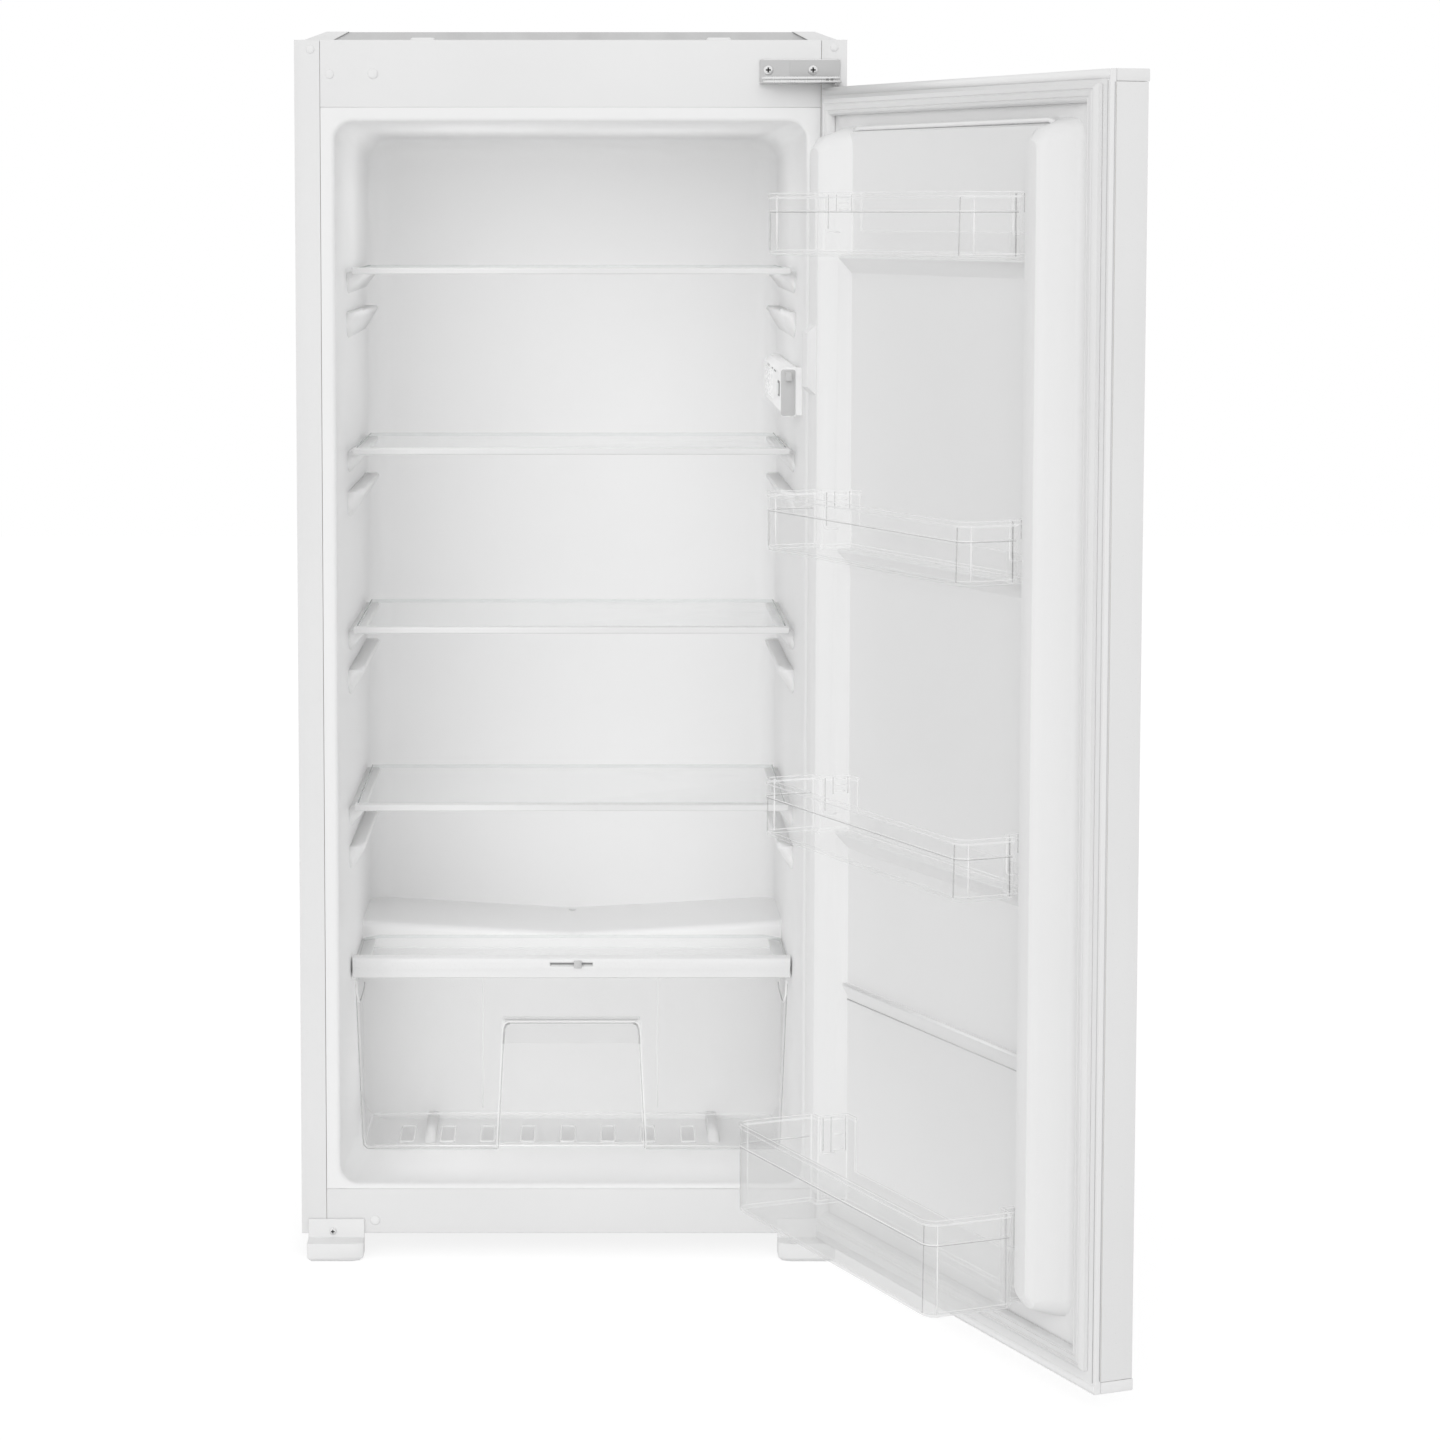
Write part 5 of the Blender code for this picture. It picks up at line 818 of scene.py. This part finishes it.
def drawer_edges():
    """The light and dark lines that the clear drawer's edges show: painted highlight and painted
    shade.
    """
    body = BODY_OF["crisper_drawer"]
    grip = [(-76.0, GRIP_FOOT), (-72.9, 115.0), (-70.0, 172.0), (-69.3, 180.0), (-67.6, 184.0),
            (-64.0, 185.6), (64.0, 185.6), (67.6, 184.0), (69.3, 180.0), (70.0, 172.0),
            (72.9, 115.0), (76.0, GRIP_FOOT)]
    outer = [(-223.4, 224.0), (-216.9, 62.0), (-215.8, 56.4), (-212.0, 52.4),
             (-205.0, LINE_BOTTOM)]
    light = bmesh.new()
    sweep(light, drawer_line([(x * 1.02, z + (1.5 if z > GRIP_SHOULDER else 0.0))
                              for x, z in grip]), 0.6)
    dark = bmesh.new()
    sweep(dark, drawer_line(grip), 0.5)
    for side in (-1, 1):
        rim = [(side * -x, z) for x, z in outer]
        sweep(dark, [(x, 140.0 if z > CORNER_TOP else drawer_face(z) - 0.2, z) for x, z in rim],
              0.55)
        sweep(dark, drawer_line([(side * x, LINE_BOTTOM) for x in (205.0, 140.0, 77.0)]), 0.45)
        corner = [(side * -x, z) for x, z in grip[1:6]]
        corner[0] = (side * 70.4, 164.0)
        sweep(dark, drawer_line(corner, 0.5), 1.15)
        bracket = [(side * 222.0, 231.0), (side * 221.6, 216.0), (side * 219.0, 207.0)]
        sweep(light, drawer_line(bracket, -1.0), 1.1)
        bracket = [(side * 213.5, 229.0), (side * 214.2, 222.0), (side * 218.0, 209.0)]
        sweep(dark, drawer_line(bracket, -1.0), 0.6)
    made("drawer_painted_highlight_edges", light, on_cabinet, body, CLEAR_PAINTED_HIGHLIGHT)
    made("drawer_painted_shade_edges", dark, on_cabinet, body, CLEAR_PAINTED_SHADE)


def drawer_details():
    """The grip's lip, the pads on the floor with a painted highlight on their round edges, and
    lines of painted highlight for the edges seen inside.
    """
    body = BODY_OF["crisper_drawer"]
    bm = bmesh.new()
    lip = [(-68.6, 164.0), (68.6, 164.0), (67.4, 184.6), (-67.4, 184.6)]
    loft(bm, [[(x, drawer_face(z) + back, z) for x, z in lip] for back in (1.4, 2.6)])
    made("drawer_grip_lip", bm, on_cabinet, body, CLEAR, 0.4)
    bm = bmesh.new()
    for k in range(PAD_COUNT):
        middle = PAD_FIRST + PAD_PITCH * k
        loft(bm, [[(x, depth, z) for x, depth in rounded(middle - half, middle + half,
                                                         161.0 - half, 213.0 + half, 3.0, 4)]
                  for half, z in ((8.0, 53.6), (8.0, 55.2), (7.2, 55.9))])
    pads = add_object("drawer_floor_pads", bm, on_cabinet)
    pads.data.materials.append(CLEAR)
    round_edges(pads, 0.5, rim=CLEAR_PAINTED_HIGHLIGHT)
    piece(pads, body, CLEAR)
    bm = bmesh.new()
    for depths in ((141.0, 139.2, 139.6), (278.0, 279.6, 279.2)):
        sweep(bm, [(x, depth, INSIDE_LINE)
                   for x, depth in zip((-205.0, -100.0, 150.0), depths)], 0.8)
    for x in (-96.0, 92.0):
        sweep(bm, [(x, 281.0, 60.0), (x, 284.0, 140.0), (x, 287.4, 228.0)], 0.5)
    made("drawer_inside_painted_highlights", bm, on_cabinet, body, CLEAR_PAINTED_HIGHLIGHT)


def shelf_side_lines(index):
    """The dark line of the pane's ground edge on each side."""
    name = "shelf_%d_glass" % index
    low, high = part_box(name)
    bm = bmesh.new()
    for x in (low.x + 0.2 * MM, high.x - 0.2 * MM):
        sweep(bm, [(x / MM, (low.y + (high.y - low.y) * k / 4) / MM - FRONT_Y, high.z / MM - 0.6)
                   for k in range(5)], 0.6)
    made("shelf_%d_side_lines" % index, bm, on_cabinet, BODY_OF[name], GLASS_LINE)


# Door: racks with lines of painted highlight and shade, gasket, end caps and lines

DOOR_NEAR = 1.0
DOOR_FAR = 539.0
TRAY_NEAR = 82.0
TRAY_FAR = 458.0
DOOR_MIDDLE = 270.0
RACK_NEAR = 74.0
RACK_FAR = 466.0
RACK_BACK = 45.0
RACK_CORNER = 13.0
RACK_HOOKS = (90.6, 449.4)
# Each rack's number, bottom, height, reach, the drop of its step and the drop of its hooks
RACKS = ((1, 980.0, 59.0, 98.0, 18.0, 18.0), (2, 699.0, 57.0, 98.0, 18.0, 18.0),
         (3, 424.0, 56.0, 98.0, 18.0, 18.0), (4, 58.5, 88.0, 125.0, 23.0, 36.0))


def rack_edges(index, bottom, height, reach, step_drop, hook_drop):
    """The light and dark lines that a clear rack's step, hooks and corners show: painted
    highlight and painted shade.
    """
    name = "door_rack_%d" % index
    body = BODY_OF[name]
    near, far = RACK_NEAR, RACK_FAR
    top = bottom + height
    step = top - step_drop
    corner = reach - RACK_CORNER
    front, side, turn = reach - 1.2, reach - 10.0, reach - 3.6
    plan = [(near, RACK_BACK), (near, corner)]
    plan += arc((near + RACK_CORNER, corner), RACK_CORNER, math.pi, -QUARTER, 6)
    plan += arc((far - RACK_CORNER, corner), RACK_CORNER, QUARTER, -QUARTER, 6)
    plan += [(far, corner), (far, RACK_BACK)]
    light, dark = bmesh.new(), bmesh.new()
    sweep(dark, [(across, out, step) for across, out in plan], 0.45)
    sweep(light, [(across, out, step + 1.1) for across, out in plan], 0.5)
    for hook in RACK_HOOKS:
        sweep(light, [(hook, 26.0, top - 37.0), (hook, 39.0, top - 37.0),
                      (hook, 40.6, top - 36.0), (hook, 41.0, top - 33.0),
                      (hook, 41.0, top - 3.0)], 0.8)
        sweep(dark, [(hook, 38.6, top - 34.0), (hook, 38.6, top - 2.0)], 0.5)
        for out in (14.0, 30.0):
            sweep(dark, [(hook, out, top - hook_drop), (hook, out, top - 1.5)], 0.45)
        for k in range(3):
            level = top - 3.5 - (hook_drop - 6.0) * k / 2
            sweep(light, [(hook, 17.0, level), (hook, 27.0, level)], 0.6)
    sweep(dark, [(far - 2.6, 46.0, bottom + 3.0), (far - 2.6, 46.0, top - 2.0)], 0.6)
    sweep(dark, [(far - 11.5, front, bottom + 4.0), (far - 9.5, front, top - 5.0)], 0.6)
    sweep(light, [(far - 0.9, side, bottom + 4.0), (far - 0.9, side, top - 4.0)], 0.6)
    sweep(light, [(near + 0.6, corner, bottom + 4.0), (near + 0.6, corner, top - 2.0)], 0.9)
    sweep(dark, [(near + 5.4, turn, bottom + 5.0), (near + 5.4, turn, step - 1.0)], 0.6)
    made(name + "_painted_highlight_edges", light, on_door, body, CLEAR_PAINTED_HIGHLIGHT)
    made(name + "_painted_shade_edges", dark, on_door, body, CLEAR_PAINTED_SHADE)


def gasket():
    """The seal's ribbed profile, taken once round the door."""
    name = "door_gasket"
    near, far, bottom, top = 12.0, 528.0, 16.5, 1130.0
    profile = [(0.0, 0.3), (0.0, 4.4), (2.2, 6.8), (4.2, 7.7), (5.0, 6.7), (6.0, 6.7), (6.8, 7.7),
               (10.6, 7.7), (11.3, 6.7), (12.2, 6.7), (12.9, 7.7), (14.4, 7.0), (16.0, 4.4),
               (16.0, 0.3)]
    bm = bmesh.new()
    loft(bm, [[(near + inset, out, bottom + inset), (far - inset, out, bottom + inset),
               (far - inset, out, top - inset), (near + inset, out, top - inset)]
              for inset, out in profile], closed=True)
    made("door_gasket_body", bm, on_door, BODY_OF[name], GASKET, 0.25, replaced=(name,))


def door_edges():
    """The end caps' lips, the beads of the door liner's step and ridge, the door's edge lines;
    the ridge's foot line and the edge lines are painted shade.
    """
    bm = bmesh.new()
    for inner, outer in ((1133.6, 1141.6), (6.4, -1.6)):
        loft(bm, [[(DOOR_NEAR, -0.5, height), (DOOR_FAR, -0.5, height),
                   (DOOR_FAR, swell, height), (DOOR_NEAR, swell, height)]
                  for height, swell in ((inner, 0.4), ((inner + outer) / 2, 1.5), (outer, 0.2))])
    made("door_cap_lips", bm, on_door, "door", CAP_WHITE)
    bm = bmesh.new()
    sweep(bm, [(TRAY_NEAR, 6.3, 1098.0), (90.0, 6.3, 1100.4), (450.0, 6.3, 1100.4),
               (TRAY_FAR, 6.3, 1098.0)], 2.2)
    sweep(bm, [(across, 14.6, 274.2) for across in (88.0, DOOR_MIDDLE, 456.0)], 1.5)
    made("door_ledge_bead", bm, on_door, "door", CAP_WHITE)
    bm = bmesh.new()
    sweep(bm, [(across, 10.1, 258.6) for across in (TRAY_NEAR, DOOR_MIDDLE, TRAY_FAR)], 0.6)
    made("door_ridge_foot_shade", bm, on_door, "door", GREY_PLASTIC_AND_PAINTED_SHADE)
    bm = bmesh.new()
    sweep(bm, [(536.2, 0.05, 8.0), (536.2, 0.05, 1132.0)], 0.5)
    sweep(bm, [(540.0, -4.6, 10.0), (540.0, -4.6, 1130.5)], 0.5)
    made("door_edge_shade_lines", bm, on_door, "door", GREY_PLASTIC_AND_PAINTED_SHADE)


deck_folds()
rail_details()
hinge_details()
screw_heads()
housing_details()
cover_trim()
drawer_edges()
drawer_details()
for shelf_index in range(1, 5):
    shelf_side_lines(shelf_index)
for rack in RACKS:
    rack_edges(*rack)
gasket()
door_edges()


# Light, background and floor

WORLD_LIGHT = 0.655
SUN_LIGHT = 1.0
SUN_DIRECTION = (0.18, 1.0, -0.40)
SUN_SPREAD = math.radians(45.0)
FLOOR_REACH = 8.0
# Grey and glow of the floor as it lights the object, and as the camera sees it
FLOOR_LIT = (0.88, 0.06)
FLOOR_SEEN = (0.30, 0.80)
LAMP_SIZE = 0.10
# Places in the cabinet and powers of the soft lamps that stand for the refrigerator's own
INSIDE_LIGHTS = ((-95.0, 200.0, 1015.0, 0.17), (95.0, 200.0, 1015.0, 0.17),
                 (-110.0, 130.0, 1050.0, 0.09), (120.0, 150.0, 1050.0, 0.02),
                 (-110.0, 150.0, 870.0, 0.030), (100.0, 150.0, 870.0, 0.012),
                 (-110.0, 150.0, 690.0, 0.018), (100.0, 150.0, 690.0, 0.008),
                 (-110.0, 150.0, 510.0, 0.022), (100.0, 150.0, 510.0, 0.010),
                 (-110.0, 160.0, 330.0, 0.08), (90.0, 160.0, 330.0, 0.06),
                 (-100.0, 55.0, 920.0, 0.042), (-100.0, 55.0, 640.0, 0.042),
                 (-100.0, 55.0, 420.0, 0.036), (120.0, 220.0, 850.0, 0.036),
                 (-150.0, 170.0, 140.0, 0.09), (-125.0, 90.0, 90.0, 0.055),
                 (0.0, 90.0, 90.0, 0.035), (125.0, 90.0, 90.0, 0.055))


def camera_like(nodes, links):
    """1 for rays that should see the white background: camera, glossy, transmission."""
    path = nodes.new("ShaderNodeLightPath")
    value = path.outputs["Is Camera Ray"]
    for other in ("Is Glossy Ray", "Is Transmission Ray"):
        top = nodes.new("ShaderNodeMath")
        top.operation = "MAXIMUM"
        links.new(value, top.inputs[0])
        links.new(path.outputs[other], top.inputs[1])
        value = top.outputs[0]
    return value


def world():
    """Plain light from all around, and plain white for the rays that see it."""
    scene_world = bpy.data.worlds.new("studio")
    bpy.context.scene.world = scene_world
    scene_world.use_nodes = True
    nodes, links = scene_world.node_tree.nodes, scene_world.node_tree.links
    nodes.clear()
    out = nodes.new("ShaderNodeOutputWorld")
    light, white = nodes.new("ShaderNodeBackground"), nodes.new("ShaderNodeBackground")
    light.inputs["Strength"].default_value = WORLD_LIGHT
    light.inputs["Color"].default_value = WHITE
    white.inputs["Color"].default_value = WHITE
    mix = nodes.new("ShaderNodeMixShader")
    links.new(camera_like(nodes, links), mix.inputs["Fac"])
    links.new(light.outputs[0], mix.inputs[1])
    links.new(white.outputs[0], mix.inputs[2])
    links.new(mix.outputs[0], out.inputs["Surface"])


def floor():
    """A plain floor that looks white and keeps the object's shadow."""
    mesh = bpy.data.meshes.new("floor")
    reach = FLOOR_REACH
    mesh.from_pydata([(-reach, -reach, FLOOR), (reach, -reach, FLOOR),
                      (reach, reach, FLOOR), (-reach, reach, FLOOR)], [], [(0, 1, 2, 3)])
    obj = bpy.data.objects.new("floor", mesh)
    bpy.context.scene.collection.objects.link(obj)
    mat, nodes, links, out = tree_of("floor")
    mix = nodes.new("ShaderNodeMixShader")
    for socket, (grey, glow) in ((mix.inputs[1], FLOOR_LIT), (mix.inputs[2], FLOOR_SEEN)):
        plain = nodes.new("ShaderNodeBsdfDiffuse")
        plain.inputs["Color"].default_value = (grey, grey, grey, 1.0)
        shine = nodes.new("ShaderNodeEmission")
        shine.inputs["Strength"].default_value = glow
        total = nodes.new("ShaderNodeAddShader")
        links.new(plain.outputs[0], total.inputs[0])
        links.new(shine.outputs[0], total.inputs[1])
        links.new(total.outputs[0], socket)
    links.new(camera_like(nodes, links), mix.inputs["Fac"])
    links.new(mix.outputs[0], out.inputs["Surface"])
    mesh.materials.append(mat)


def sun():
    """A very soft key light from the front, a little from above and the left."""
    data = bpy.data.lights.new("key", "SUN")
    data.energy = SUN_LIGHT
    data.angle = SUN_SPREAD
    obj = bpy.data.objects.new("key", data)
    obj.rotation_mode = "QUATERNION"
    obj.rotation_quaternion = Vector(SUN_DIRECTION).to_track_quat("-Z", "Y")
    obj.visible_glossy = False
    bpy.context.scene.collection.objects.link(obj)


def inside_light(name, place, power):
    """One soft lamp at a place in the cabinet, not seen itself."""
    data = bpy.data.lights.new(name, "POINT")
    data.energy = power
    data.shadow_soft_size = LAMP_SIZE
    obj = bpy.data.objects.new(name, data)
    obj.location = on_cabinet(place)
    obj.visible_camera = obj.visible_glossy = obj.visible_transmission = False
    bpy.context.scene.collection.objects.link(obj)


world()
floor()
sun()
for light_index, (*light_place, light_power) in enumerate(INSIDE_LIGHTS):
    inside_light("inside_%d" % light_index, light_place, light_power)

bpy.context.scene.view_settings.view_transform = "Standard"
